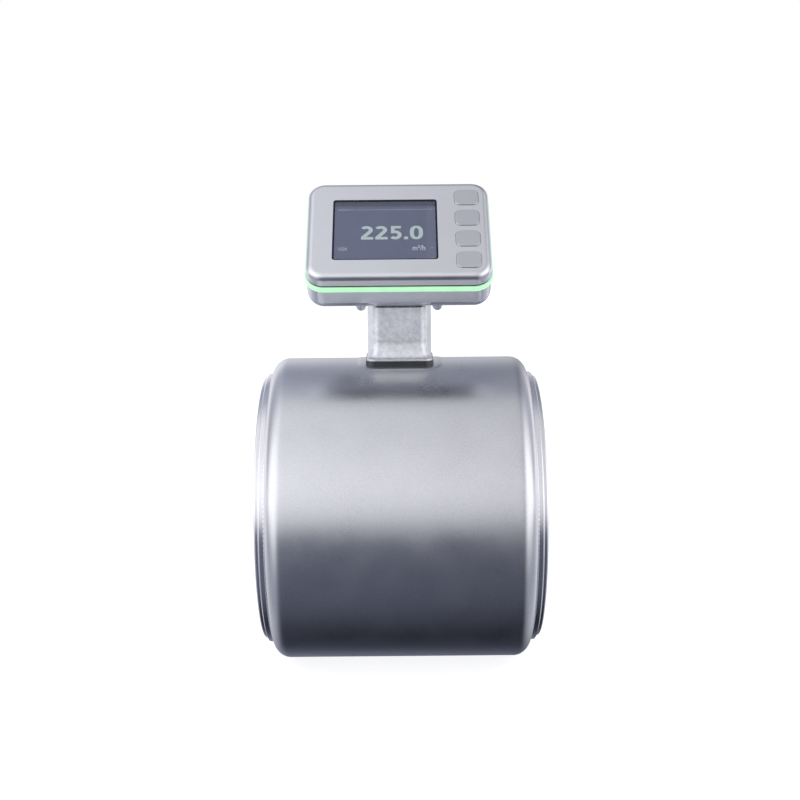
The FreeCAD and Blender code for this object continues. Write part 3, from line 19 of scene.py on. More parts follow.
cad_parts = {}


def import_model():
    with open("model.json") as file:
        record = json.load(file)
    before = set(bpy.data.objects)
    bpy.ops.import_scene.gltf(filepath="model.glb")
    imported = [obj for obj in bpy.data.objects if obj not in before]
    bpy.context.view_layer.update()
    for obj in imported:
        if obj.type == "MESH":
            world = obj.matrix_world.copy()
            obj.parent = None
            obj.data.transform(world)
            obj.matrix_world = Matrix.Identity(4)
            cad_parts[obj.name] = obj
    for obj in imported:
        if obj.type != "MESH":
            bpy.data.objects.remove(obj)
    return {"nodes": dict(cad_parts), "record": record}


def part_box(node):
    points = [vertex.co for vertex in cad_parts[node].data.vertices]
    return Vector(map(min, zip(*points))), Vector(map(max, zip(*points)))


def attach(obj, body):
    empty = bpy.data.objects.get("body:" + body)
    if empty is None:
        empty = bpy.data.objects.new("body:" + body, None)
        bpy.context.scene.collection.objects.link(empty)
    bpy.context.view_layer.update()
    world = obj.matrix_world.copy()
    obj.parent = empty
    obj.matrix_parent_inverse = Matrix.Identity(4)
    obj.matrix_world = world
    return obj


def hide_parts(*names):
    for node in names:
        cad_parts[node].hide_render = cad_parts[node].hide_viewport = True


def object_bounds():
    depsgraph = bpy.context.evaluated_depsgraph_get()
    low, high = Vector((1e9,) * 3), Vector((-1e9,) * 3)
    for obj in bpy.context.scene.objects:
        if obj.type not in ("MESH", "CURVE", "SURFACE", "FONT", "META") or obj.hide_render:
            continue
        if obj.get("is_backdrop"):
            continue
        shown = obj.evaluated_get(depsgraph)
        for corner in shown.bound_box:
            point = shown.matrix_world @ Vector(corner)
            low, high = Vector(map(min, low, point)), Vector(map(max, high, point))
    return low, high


log = logging.getLogger("flow_meter")

MM = 0.001
BODY = "meter"
Pair = tuple[float, float]
Triple = tuple[float, float, float]
Colour = Triple
Socket = bpy.types.NodeSocket
Material = bpy.types.Material
Array = np.ndarray


# ---- node work

class Graph:
    """A node tree and short ways of adding nodes to it."""

    def __init__(self, tree: bpy.types.NodeTree) -> None:
        """Hold the tree that nodes are added to."""
        self.tree = tree

    def node(self, kind: str, **values: object) -> bpy.types.Node:
        """Add a node.

        Args:
            kind: Blender's type name of the node.
            values: properties of the node itself.

        Returns:
            The new node.
        """
        made = self.tree.nodes.new(kind)
        for key, value in values.items():
            setattr(made, key, value)
        return made

    def feed(self, socket: Socket, source: object) -> None:
        """Give a socket a link or a plain value."""
        if isinstance(source, Socket):
            self.tree.links.new(source, socket)
        else:
            socket.default_value = source

    def maths(self, operation: str, first: object, second: object) -> Socket:
        """Return one sum of two values or sockets."""
        made = self.node("ShaderNodeMath", operation=operation)
        self.feed(made.inputs[0], first)
        self.feed(made.inputs[1], second)
        return made.outputs[0]


class Wiring(Graph):
    """A new material and the textures that finishes are made of."""

    def __init__(self, name: str) -> None:
        """Start a material of that name with one principled shader."""
        self.material = bpy.data.materials.new(name)
        self.material.use_nodes = True
        super().__init__(self.material.node_tree)
        self.shader = self.tree.nodes["Principled BSDF"]
        self.place = self.node("ShaderNodeTexCoord").outputs["Object"]

    def set(self, **inputs: object) -> None:
        """Set the shader's inputs by name, with _ for a space."""
        for key, value in inputs.items():
            if isinstance(value, tuple) and len(value) == 3:
                value = (*value, 1.0)
            self.feed(self.shader.inputs[key.replace("_", " ")], value)

    def stretched(self, stretch: Triple) -> Socket:
        """Return the object's coordinates times a number of cells per metre on each axis."""
        scaled = self.node("ShaderNodeMapping")
        self.feed(scaled.inputs["Vector"], self.place)
        scaled.inputs["Scale"].default_value = stretch
        return scaled.outputs[0]

    def noise(self, vector: object, scale: float = 1.0, detail: float = 2.0,
              rough: float = 0.5) -> Socket:
        """Return a noise value from 0 to 1 over a vector.

        Args:
            vector: where the noise is read.
            scale: cells per unit of the vector.
            detail: octaves.
            rough: weight of the finer octaves.

        Returns:
            The value socket.
        """
        made = self.node("ShaderNodeTexNoise")
        self.feed(made.inputs["Vector"], vector)
        made.inputs["Scale"].default_value = scale
        made.inputs["Detail"].default_value = detail
        made.inputs["Roughness"].default_value = rough
        return made.outputs["Fac"]

    def rings(self, per_metre: float) -> Socket:
        """Return a noise over the distance from the X axis, the root of y^2 + z^2.

        Args:
            per_metre: rings per metre of that distance.

        Returns:
            The value socket.
        """
        split = self.node("ShaderNodeSeparateXYZ")
        self.feed(split.inputs[0], self.place)
        squares = [self.maths("MULTIPLY", split.outputs[i], split.outputs[i]) for i in ("Y", "Z")]
        radius = self.maths("SQRT", self.maths("ADD", *squares), 0.0)
        made = self.node("ShaderNodeTexNoise", noise_dimensions="1D")
        self.feed(made.inputs["W"], radius)
        made.inputs["Scale"].default_value = per_metre
        made.inputs["Detail"].default_value = 3.0
        return made.outputs["Fac"]

    def spread(self, value: object, low: float, high: float, start: float = 0.3,
               end: float = 0.7) -> Socket:
        """Map a value from start..end to low..high, held at both ends."""
        made = self.node("ShaderNodeMapRange")
        for key, number in (("Value", value), ("From Min", start), ("From Max", end),
                            ("To Min", low), ("To Max", high)):
            self.feed(made.inputs[key], number)
        return made.outputs[0]

    def blend(self, value: object, first: Colour, second: Colour) -> Socket:
        """Return a colour between two, by a value from 0 to 1."""
        ramp = self.node("ShaderNodeValToRGB")
        ramp.color_ramp.elements[0].color = (*first, 1.0)
        ramp.color_ramp.elements[1].color = (*second, 1.0)
        self.feed(ramp.inputs[0], value)
        return ramp.outputs[0]

    def bump(self, height: object, depth: float) -> Socket:
        """Return a normal bent by a height.

        Args:
            height: socket of the height, 0 to 1.
            depth: what a height of 1 comes to, in metres.

        Returns:
            The normal socket.
        """
        made = self.node("ShaderNodeBump")
        made.inputs["Distance"].default_value = depth
        self.feed(made.inputs["Height"], height)
        return made.outputs[0]


# ---- finishes

class Grain(Enum):
    """How a metal surface was worked."""

    BLASTED = "blasted"
    BRUSHED = "brushed"
    TURNED = "turned"
    CAST = "cast"
    POLISHED = "polished"


@dataclass(frozen=True)
class Metal:
    """Bare metal.

    Attributes:
        name: material name.
        colour: reflectance of the clean surface.
        roughness: middle of the roughness.
        grain: how it was worked.
        depth: height of the grain, in metres.
        blotch: share by which the colour wanders over a few centimetres.
        speckle: share by which single grains are lighter or darker.
    """

    name: str
    colour: Colour
    roughness: float
    grain: Grain
    depth: float = 0.00001
    blotch: float = 0.05
    speckle: float = 0.03

    def material(self) -> Material:
        """Build metal whose roughness, colour and height follow the grain."""
        wiring = Wiring(self.name)
        fine = self._fine(wiring)
        broad = wiring.noise(wiring.place, scale=45.0, detail=3.0)
        grains = wiring.spread(fine, -self.speckle, self.speckle)
        patches = wiring.spread(broad, -self.blotch, self.blotch)
        tone = wiring.maths("ADD", wiring.maths("ADD", grains, patches), 1.0)
        clean = wiring.node("ShaderNodeRGB")
        clean.outputs[0].default_value = (*self.colour, 1.0)
        toned = wiring.node("ShaderNodeVectorMath", operation="SCALE")
        wiring.feed(toned.inputs[0], clean.outputs[0])
        wiring.feed(toned.inputs["Scale"], tone)
        wiring.set(Metallic=1.0, Base_Color=toned.outputs[0],
                   Roughness=wiring.spread(broad, self.roughness * 0.9, self.roughness * 1.1),
                   Normal=wiring.bump(fine, self.depth))
        return wiring.material

    def _fine(self, wiring: Wiring) -> Socket:
        """Return the fine height of the grain."""
        if self.grain is Grain.BLASTED:
            return wiring.noise(wiring.place, scale=1150.0, detail=3.0, rough=0.6)
        if self.grain is Grain.BRUSHED:
            return wiring.noise(wiring.stretched((45.0, 4200.0, 4200.0)), detail=3.0, rough=0.6)
        if self.grain is Grain.TURNED:
            return wiring.rings(5200.0)
        if self.grain is Grain.CAST:
            lumps = wiring.noise(wiring.place, scale=420.0, detail=4.0, rough=0.6)
            pits = wiring.noise(wiring.place, scale=2100.0, detail=2.0)
            return wiring.maths("ADD", wiring.maths("MULTIPLY", lumps, 0.7),
                                wiring.maths("MULTIPLY", pits, 0.3))
        return wiring.noise(wiring.place, scale=520.0, detail=2.0)


@dataclass(frozen=True)
class Moulded:
    """Moulded plastic, rubber or lacquer.

    Attributes:
        name: material name.
        colour: main colour.
        second: colour that it wanders to.
        roughness: middle of the roughness.
        texture: cells per metre of the surface texture.
        depth: height of the texture, in metres.
        glow: emission strength of the main colour.
        coat: strength of a clear glossy skin.
        shine: specular level, 0.5 for plain plastic.
    """

    name: str
    colour: Colour
    second: Colour
    roughness: float
    texture: float = 1500.0
    depth: float = 0.00001
    glow: float = 0.0
    coat: float = 0.0
    shine: float = 0.5

    def material(self) -> Material:
        """Build a dielectric with a fine mould texture and a slight change of colour."""
        wiring = Wiring(self.name)
        fine = wiring.noise(wiring.place, scale=self.texture, detail=3.0)
        broad = wiring.noise(wiring.place, scale=120.0, detail=3.0)
        tone = wiring.blend(wiring.spread(broad, 0.0, 1.0), self.colour, self.second)
        wiring.set(Base_Color=tone,
                   Roughness=wiring.spread(fine, self.roughness * 0.85, self.roughness * 1.15),
                   Normal=wiring.bump(fine, self.depth), Specular_IOR_Level=self.shine,
                   Coat_Weight=self.coat, Coat_Roughness=0.12)
        if self.glow:
            wiring.set(Emission_Color=tone, Emission_Strength=self.glow)
        return wiring.material


@dataclass(frozen=True)
class Glass:
    """Clear flat glass with a faint haze.

    Attributes:
        name: material name.
        tint: colour of what passes through.
        haze: the least roughness, twice that where it is dull.
    """

    name: str
    tint: Colour
    haze: float

    def material(self) -> Material:
        """Build the material."""
        wiring = Wiring(self.name)
        smear = wiring.noise(wiring.place, scale=160.0, detail=4.0)
        paler = tuple(min(1.0, c * 1.02) for c in self.tint)
        wiring.set(Base_Color=wiring.blend(smear, self.tint, paler),
                   Roughness=wiring.spread(smear, self.haze, self.haze * 2.0),
                   Transmission_Weight=1.0, IOR=1.5, Specular_IOR_Level=0.12)
        return wiring.material


@dataclass(frozen=True)
class Lit:
    """A shown part of the display: it gives its own light, a little unevenly.

    Attributes:
        name: material name.
        colour: main colour of the light.
        second: colour that it wanders to.
    """

    name: str
    colour: Colour
    second: Colour

    def material(self) -> Material:
        """Build the material."""
        wiring = Wiring(self.name)
        cells = wiring.noise(wiring.place, scale=60.0, detail=1.0)
        tone = wiring.blend(wiring.spread(cells, 0.0, 1.0), self.colour, self.second)
        wiring.set(Base_Color=(0.01, 0.01, 0.012), Roughness=0.5, Specular_IOR_Level=0.0,
                   Emission_Color=tone, Emission_Strength=1.0)
        return wiring.material


@dataclass(frozen=True)
class CircuitBoard:
    """Green laminate with the faint paths of its copper under the lacquer.

    Attributes:
        name: material name.
        lacquer: colour of the board.
        track: colour over its copper.
    """

    name: str
    lacquer: Colour
    track: Colour

    def material(self) -> Material:
        """Build the material."""
        wiring = Wiring(self.name)
        cells = wiring.node("ShaderNodeTexBrick", offset=0.37, squash=0.6)
        wiring.feed(cells.inputs["Vector"], wiring.place)
        for key, value in (("Scale", 90.0), ("Mortar Size", 0.03), ("Brick Width", 0.7),
                           ("Row Height", 0.2)):
            cells.inputs[key].default_value = value
        for key, colour in (("Color1", self.lacquer), ("Color2", self.lacquer),
                            ("Mortar", self.track)):
            cells.inputs[key].default_value = (*colour, 1.0)
        wiring.set(Base_Color=cells.outputs["Color"], Roughness=0.35, Coat_Weight=0.5,
                   Normal=wiring.bump(cells.outputs["Fac"], 0.00004))
        return wiring.material


@dataclass(frozen=True)
class WoundWire:
    """Lacquered copper wire wound in close layers round an upright axis, with painted shade in the
    valleys between the wires.

    Attributes:
        name: material name.
        colour: colour of the wires' crests; the valleys get painted shade, 0.4 times as bright.
        wires_per_metre: wires laid side by side in a metre.
    """

    name: str
    colour: Colour
    wires_per_metre: float

    def material(self) -> Material:
        """Build the material."""
        wiring = Wiring(self.name)
        bands = wiring.node("ShaderNodeTexWave", bands_direction="Z")
        wiring.feed(bands.inputs["Vector"], wiring.place)
        bands.inputs["Scale"].default_value = self.wires_per_metre * 0.3
        # Painted shade: the valleys between the wires are 0.4 times as bright as the crests.
        valley_painted_shade = tuple(c * 0.4 for c in self.colour)
        wiring.set(Metallic=0.9, Roughness=0.3,
                   Base_Color=wiring.blend(bands.outputs["Fac"], valley_painted_shade, self.colour),
                   Normal=wiring.bump(bands.outputs["Fac"], 0.0001))
        return wiring.material


# What each material slot of the record, and each shown part of the display, is made of.
FINISHES = {
    "drum_steel": Metal("blasted drum steel", (0.662, 0.67, 0.685), 0.29, Grain.BLASTED, 2e-5,
                        blotch=0.025, speckle=0.06),
    "ring_steel": Metal("turned ring steel", (0.8, 0.8, 0.82), 0.2, Grain.TURNED, 6e-6, 0.03),
    "tube_steel": Metal("drawn tube steel", (0.6, 0.6, 0.62), 0.3, Grain.BRUSHED),
    "liner_plastic": Moulded("flared lining", (0.83, 0.83, 0.8), (0.88, 0.88, 0.86), 0.32,
                             900.0, 8e-6),
    "seal_rubber": Moulded("black seal rubber", (0.016, 0.017, 0.02), (0.024, 0.025, 0.03), 0.34,
                           2400.0, 6e-6, coat=0.3),
    "electrode_steel": Metal("polished electrode steel", (0.62, 0.61, 0.6), 0.12, Grain.POLISHED),
    "bush_plastic": Moulded("ivory bush plastic", (0.75, 0.72, 0.62), (0.8, 0.78, 0.7), 0.4),
    "nut_steel": Metal("bright screw steel", (0.58, 0.58, 0.6), 0.26, Grain.TURNED),
    "magnet_steel": Metal("plated magnet steel", (0.5, 0.49, 0.46), 0.38, Grain.BLASTED),
    "bobbin_plastic": Moulded("glass filled bobbin", (0.03, 0.03, 0.035), (0.05, 0.05, 0.055), 0.5),
    "copper": WoundWire("enamelled copper", (0.72, 0.3, 0.13), 2600.0),
    "board_green": CircuitBoard("lacquered board", (0.012, 0.11, 0.05), (0.03, 0.2, 0.09)),
    "wire_skin": Moulded("wire sleeve", (0.03, 0.03, 0.03), (0.05, 0.05, 0.05), 0.5),
    "neck_steel": Metal("cast neck steel", (0.75, 0.76, 0.78), 0.48, Grain.CAST, 1.8e-4, 0.1, 0.2),
    "housing_steel": Metal("polished housing steel", (0.62, 0.64, 0.69), 0.15, Grain.POLISHED,
                           8e-6, 0.03),
    "cover_steel": Metal("satin cover steel", (0.69, 0.7, 0.72), 0.31, Grain.BRUSHED, 4e-6, 0.02),
    "key_steel": Metal("satin key steel", (0.56, 0.57, 0.6), 0.36, Grain.BRUSHED, 4e-6, 0.02),
    "status_light": Moulded("lit light guide", (0.38, 0.78, 0.43), (0.46, 0.82, 0.51), 0.3,
                            glow=0.26),
    "chip_white": Moulded("light chip", (0.8, 0.85, 0.75), (0.9, 0.9, 0.85), 0.4, glow=0.5),
    "window_glass": Glass("display glass", (0.97, 0.98, 0.99), 0.002),
    "display_face": Moulded("display module", (0.03, 0.03, 0.035), (0.04, 0.04, 0.045), 0.3),
    "frame_plastic": Moulded("display carrier", (0.02, 0.02, 0.022), (0.03, 0.03, 0.032), 0.5),
    "mat_rubber": Moulded("keypad mat", (0.05, 0.05, 0.055), (0.07, 0.07, 0.075), 0.6),
    "pin_gold": Metal("gold plated pins", (0.85, 0.62, 0.25), 0.18, Grain.POLISHED),
    "insert_plastic": Moulded("socket insert", (0.02, 0.02, 0.022), (0.03, 0.03, 0.033), 0.45),
    "panel": Lit("lit display panel", (0.06, 0.073, 0.146), (0.068, 0.082, 0.158)),
    "strip": Lit("display menu strip", (0.074, 0.088, 0.16), (0.08, 0.095, 0.168)),
    # The next two are darker lit bands along the display's top: painted shade along the window's
    # top edge, darkest at the foot.
    "header": Lit("display painted shade band", (0.05, 0.062, 0.082), (0.058, 0.07, 0.09)),
    "header_shade": Lit("display header shade", (0.03, 0.032, 0.085), (0.036, 0.038, 0.092)),
    "figures": Lit("display figures", (0.37, 0.46, 0.46), (0.4, 0.49, 0.49)),
    "unit": Lit("display unit", (0.42, 0.47, 0.54), (0.45, 0.5, 0.57)),
    "note": Lit("display note", (0.3, 0.34, 0.42), (0.33, 0.37, 0.45)),
    "faint_marks": Lit("faint display marks", (0.17, 0.19, 0.3), (0.19, 0.21, 0.32)),
    "mask": Moulded("black window print", (0.008, 0.009, 0.02), (0.011, 0.012, 0.026), 0.5,
                    shine=0.15),
}


@dataclass
class Paintbox:
    """Makes each finish's material once and hands it out."""

    made: dict[str, Material] = field(default_factory=dict)

    def get(self, name: str) -> Material:
        """Return the material of a finish."""
        if name not in self.made:
            self.made[name] = FINISHES[name].material()
        return self.made[name]


# ---- surfaces

@dataclass
class Sheet:
    """One surface as a grid of points.

    Attributes:
        points: (m, n, 3) array, u down the rows and v along them.
        wrap_u: the last row joins the first.
        wrap_v: the last column joins the first.
        flip: turn the faces round.
    """

    points: Array
    wrap_u: bool = False
    wrap_v: bool = False
    flip: bool = False

    def faces(self, offset: int) -> Array:
        """Return the four corners of each cell as point numbers.

        Args:
            offset: number of the sheet's first point in the whole mesh.

        Returns:
            (cells, 4) array. Corner (i, j) is i * n + j, and each cell runs i, i + 1 by j, j + 1.
        """
        rows, columns = self.points.shape[:2]
        i = np.arange(rows if self.wrap_u else rows - 1)[:, None]
        j = np.arange(columns if self.wrap_v else columns - 1)[None, :]
        after_i, after_j = (i + 1) % rows, (j + 1) % columns
        cells = np.stack([i * columns + j, after_i * columns + j, after_i * columns + after_j,
                          i * columns + after_j], axis=-1).reshape(-1, 4)
        return (cells[:, ::-1] if self.flip else cells) + offset


def put(name: str, data: bpy.types.ID) -> bpy.types.Object:
    """Make an object of some data and link it to the scene."""
    made = bpy.data.objects.new(name, data)
    bpy.context.scene.collection.objects.link(made)
    return made


def add(mesh: bpy.types.Mesh, name: str, replaces: tuple[str, ...] = ()) -> None:
    """Put a finished mesh into the scene as a piece that rides on the meter's fixed body.

    Args:
        mesh: the mesh, in the meter's frame.
        name: the piece's name.
        replaces: CAD nodes that it stands for.
    """
    made = put(name, mesh)
    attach(made, BODY)
    if replaces:
        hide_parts(*replaces)
    log.info("%s: %d faces", name, len(mesh.polygons))


def piece(name: str, sheets: list[Sheet], material: Material,
          replaces: tuple[str, ...] = (), sharp: float = 40.0, weld: float = 0.0) -> None:
    """Make one piece of the meter from its sheets.

    Args:
        name: the piece's name.
        sheets: its surfaces.
        material: what it is dressed in.
        replaces: CAD nodes that it stands for.
        sharp: edges that turn by more than this many degrees stay sharp.
        weld: points nearer than this are joined, in metres.
    """
    starts = np.cumsum([0] + [sheet.points[..., 0].size for sheet in sheets])
    points = np.concatenate([sheet.points.reshape(-1, 3) for sheet in sheets])
    faces = np.concatenate([sheet.faces(int(start)) for sheet, start in zip(sheets, starts)])
    if weld:
        keys = np.round(points / weld).astype(np.int64)
        _, first, index = np.unique(keys, axis=0, return_index=True, return_inverse=True)
        points, faces = points[first], index.reshape(-1)[faces]
    polygons = [list(dict.fromkeys(face)) for face in faces.tolist()]
    mesh = bpy.data.meshes.new(name)
    mesh.from_pydata(points.tolist(), [], [polygon for polygon in polygons if len(polygon) > 2])
    mesh.materials.append(material)
    mesh.polygons.foreach_set("use_smooth", np.ones(len(mesh.polygons), dtype=bool))
    mesh.set_sharp_from_angle(angle=math.radians(sharp))
    add(mesh, name, replaces)


def arc(centre: Pair, radius: float, start: float, end: float, steps: int) -> Array:
    """Return points on an arc: centre + radius * (cos t, sin t) for t from start to end degrees."""
    t = np.radians(np.linspace(start, end, steps))
    return np.column_stack([centre[0] + radius * np.cos(t), centre[1] + radius * np.sin(t)])


def turned(profile: Array, angles: Array) -> Array:
    """Turn a profile of (x, r) about the X axis.

    A point is (x, r * sin t, r * cos t), with t measured from straight up.
    """
    r, t = profile[None, :, 1], angles[:, None]
    x = np.broadcast_to(profile[None, :, 0], (len(angles), len(profile)))
    return np.stack([x, r * np.sin(t), r * np.cos(t)], axis=-1)


def box_distance(x: Array, y: Array, half_x: float, half_y: float,
                 corner: float) -> Array:
    """Return the signed distance to a rounded rectangle's edge, negative inside.

    With q = |point| - (half size - corner), it is the length of q's positive part, plus the
    greater of q's two entries where both are negative, less the corner radius.
    """
    qx, qy = np.abs(x) - (half_x - corner), np.abs(y) - (half_y - corner)
    outside = np.hypot(np.maximum(qx, 0.0), np.maximum(qy, 0.0))
    return outside + np.minimum(np.maximum(qx, qy), 0.0) - corner


def smooth_step(value: Array) -> Array:
    """Return 3 t^2 - 2 t^3 with t held between 0 and 1."""
    t = np.clip(value, 0.0, 1.0)
    return t * t * (3.0 - 2.0 * t)


def rounded_loop(half_x: float, half_y: float, corner: float, steps: int = 12) -> Array:
    """Return a closed loop round a rounded rectangle, anticlockwise from its right side."""
    corners = []
    for k, (sx, sy) in enumerate(((1, 1), (-1, 1), (-1, -1), (1, -1))):
        centre = (sx * (half_x - corner), sy * (half_y - corner))
        corners.append(arc(centre, corner, 90.0 * k, 90.0 * (k + 1), steps))
    return np.concatenate(corners)


# ---- the head's own frame

def mount(record: dict, name: str) -> dict:
    """Return one of the record's mounts by its name."""
    return next(entry for entry in record["mounts"] if entry["name"] == name)


@dataclass(frozen=True)
class Tilt:
    """The head's axes: x right, y up the face, z out of the face, from the origin."""

    y: Array
    z: Array

    @classmethod
    def of(cls, record: dict) -> "Tilt":
        """Read the tilt from the plug's axis, which points out of the back of the head."""
        z = -np.array(mount(record, "plug_thread")["axis"], float)
        z /= np.linalg.norm(z)
        return cls(y=np.cross(z, (1.0, 0.0, 0.0)), z=z)

    def world(self, x: Array, y: Array, z: Array) -> Array:
        """Return places given along the head's axes as points of the meter's frame."""
        x, y, z = np.broadcast_arrays(x, y, z)
        across = np.stack([x, np.zeros_like(x), np.zeros_like(x)], axis=-1)
        return across + y[..., None] * self.y + z[..., None] * self.z

    def extents(self, node: bpy.types.Object) -> tuple[Array, Array]:
        """Return the lowest and highest corners of a node along the head's axes."""
        flat = np.empty(len(node.data.vertices) * 3)
        node.data.vertices.foreach_get("co", flat)
        points = flat.reshape(-1, 3)
        local = np.column_stack([points[:, 0], points @ self.y, points @ self.z])
        return local.min(axis=0), local.max(axis=0)


# ---- drum

@dataclass
class Drum:
    """The blasted drum with its raised seat, and the weld beads at its ends.

    Attributes:
        paint: the materials.
        wall: thickness of the shell.
        shoulder: radius of its rounded ends.
        seat_rise: height of the seat under the neck.
        seat_corner: corner radius of the seat's outline.
        seat_blend: width over which the seat's edge rises.
        seat_margin: reach of the seat past the neck's gasket.
        fine_margin: reach of the fine grid past the seat, along the pipe.
        fine_share: angle of the fine grid round the pipe, as a share of the seat's.
        fine_steps: its points along and round the pipe.
        coarse_steps: points along one plain side, and round the rest.
        arc_steps: points on a shoulder's outer and inner arc.
        bead_radius: radius of a weld bead's section.
        bead_ripples: ripples round one bead.
        ripple_steps: points on one ripple.
        bead_steps: points round the bead's section.
        half_length: from the middle to the shell's end, read from the CAD.
        radius: outer radius, read from the CAD.
    """

    paint: Paintbox
    wall: float = 2.5 * MM
    shoulder: float = 8.8 * MM
    seat_rise: float = 0.35 * MM
    seat_corner: float = 8.6 * MM
    seat_blend: float = 2.4 * MM
    seat_margin: float = 3.8 * MM
    fine_margin: float = 3 * MM
    fine_share: float = 1.25
    fine_steps: tuple[int, int] = (84, 100)
    coarse_steps: tuple[int, int] = (18, 170)
    arc_steps: tuple[int, int] = (18, 8)
    bead_radius: float = 0.45 * MM
    bead_ripples: int = 190
    ripple_steps: int = 6
    bead_steps: int = 10
    half_length: float = field(init=False)
    radius: float = field(init=False)

    def build(self) -> None:
        """Build the drum's skin and its two weld beads."""
        low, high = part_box("drum_shell")
        self.half_length = (high.x - low.x) / 2
        self.radius = -low.z
        self.skin()
        for side, name in ((-1, "inlet"), (1, "outlet")):
            self.bead(side, name)

    def skin(self) -> None:
        """Build the shell: outer skin with the seat, inner wall and the two end lips.

        The outer radius is the turned profile's, plus the seat's rise times a smooth step
        of the distance to the seat's rounded outline.
        """
        ring = self.radius - self.shoulder
        flat = self.half_length - self.shoulder
        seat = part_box("neck_gasket")
        half_x = seat[1].x + self.seat_margin
        half_y = seat[1].y + self.seat_margin
        inner = self.shoulder - self.wall
        outer_steps, inner_steps = self.arc_steps
        edge = half_x + self.fine_margin
        near = np.linspace(-edge, edge, self.fine_steps[0])
        left = np.linspace(-flat, near[0], self.coarse_steps[0])[:-1]
        along = np.concatenate([left, near, -left[::-1]])
        outer = np.concatenate([
            arc((-flat, ring), self.shoulder, 180.0, 90.0, outer_steps)[:-1],
            np.column_stack([along, np.full(len(along), self.radius)]),
            arc((flat, ring), self.shoulder, 90.0, 0.0, outer_steps)[1:],
        ])
        inside = np.concatenate([
            arc((flat, ring), inner, 0.0, 90.0, inner_steps),
            arc((-flat, ring), inner, 90.0, 180.0, inner_steps),
        ])
        reach = half_y / self.radius * self.fine_share
        top = np.linspace(-reach, reach, self.fine_steps[1])
        rest = np.linspace(reach, 2 * math.pi - reach, self.coarse_steps[1])[1:-1]
        angles = np.concatenate([top, rest])
        grid = turned(outer, angles)
        distance = box_distance(grid[..., 0], grid[..., 1], half_x, half_y, self.seat_corner)
        above = grid[..., 2] > 0
        rise = self.seat_rise * smooth_step(0.5 - distance / self.seat_blend) * above
        grid[..., 1:] *= 1 + rise[..., None] / self.radius
        under = turned(inside, angles)
        lips = [np.stack([grid[:, -1], under[:, 0]], axis=1),
                np.stack([under[:, -1], grid[:, 0]], axis=1)]
        sheets = [Sheet(part, wrap_u=True, flip=True) for part in (grid, under, *lips)]
        piece("drum_skin", sheets, self.paint.get("drum_steel"), ("drum_shell",),
              weld=1e-7)

    def bead(self, side: int, name: str) -> None:
        """Build one ground weld bead where the drum meets its end ring.

        The bead is a thin half-round ring whose radius ripples by a tenth as it goes round:
        r = bead * (1 + 0.1 * cos(ripples * t + 0.6 * |sin 3t|)).
        """
        ring = self.radius - self.shoulder
        full = 2 * math.pi
        t = np.linspace(0.0, full, self.bead_ripples * self.ripple_steps, endpoint=False)[:, None]
        a = np.linspace(0.0, full, self.bead_steps, endpoint=False)[None, :]
        ripple = np.cos(self.bead_ripples * t + 0.6 * np.abs(np.sin(3 * t)))
        size = self.bead_radius * (1 + 0.1 * ripple)
        x = side * self.half_length + size * np.cos(a)
        r = ring + size * np.sin(a)
        points = np.stack([x, r * np.sin(t), r * np.cos(t)], axis=-1)
        piece(f"weld_bead_{name}", [Sheet(points, wrap_u=True, wrap_v=True)],
              self.paint.get("ring_steel"))


# ---- plug socket

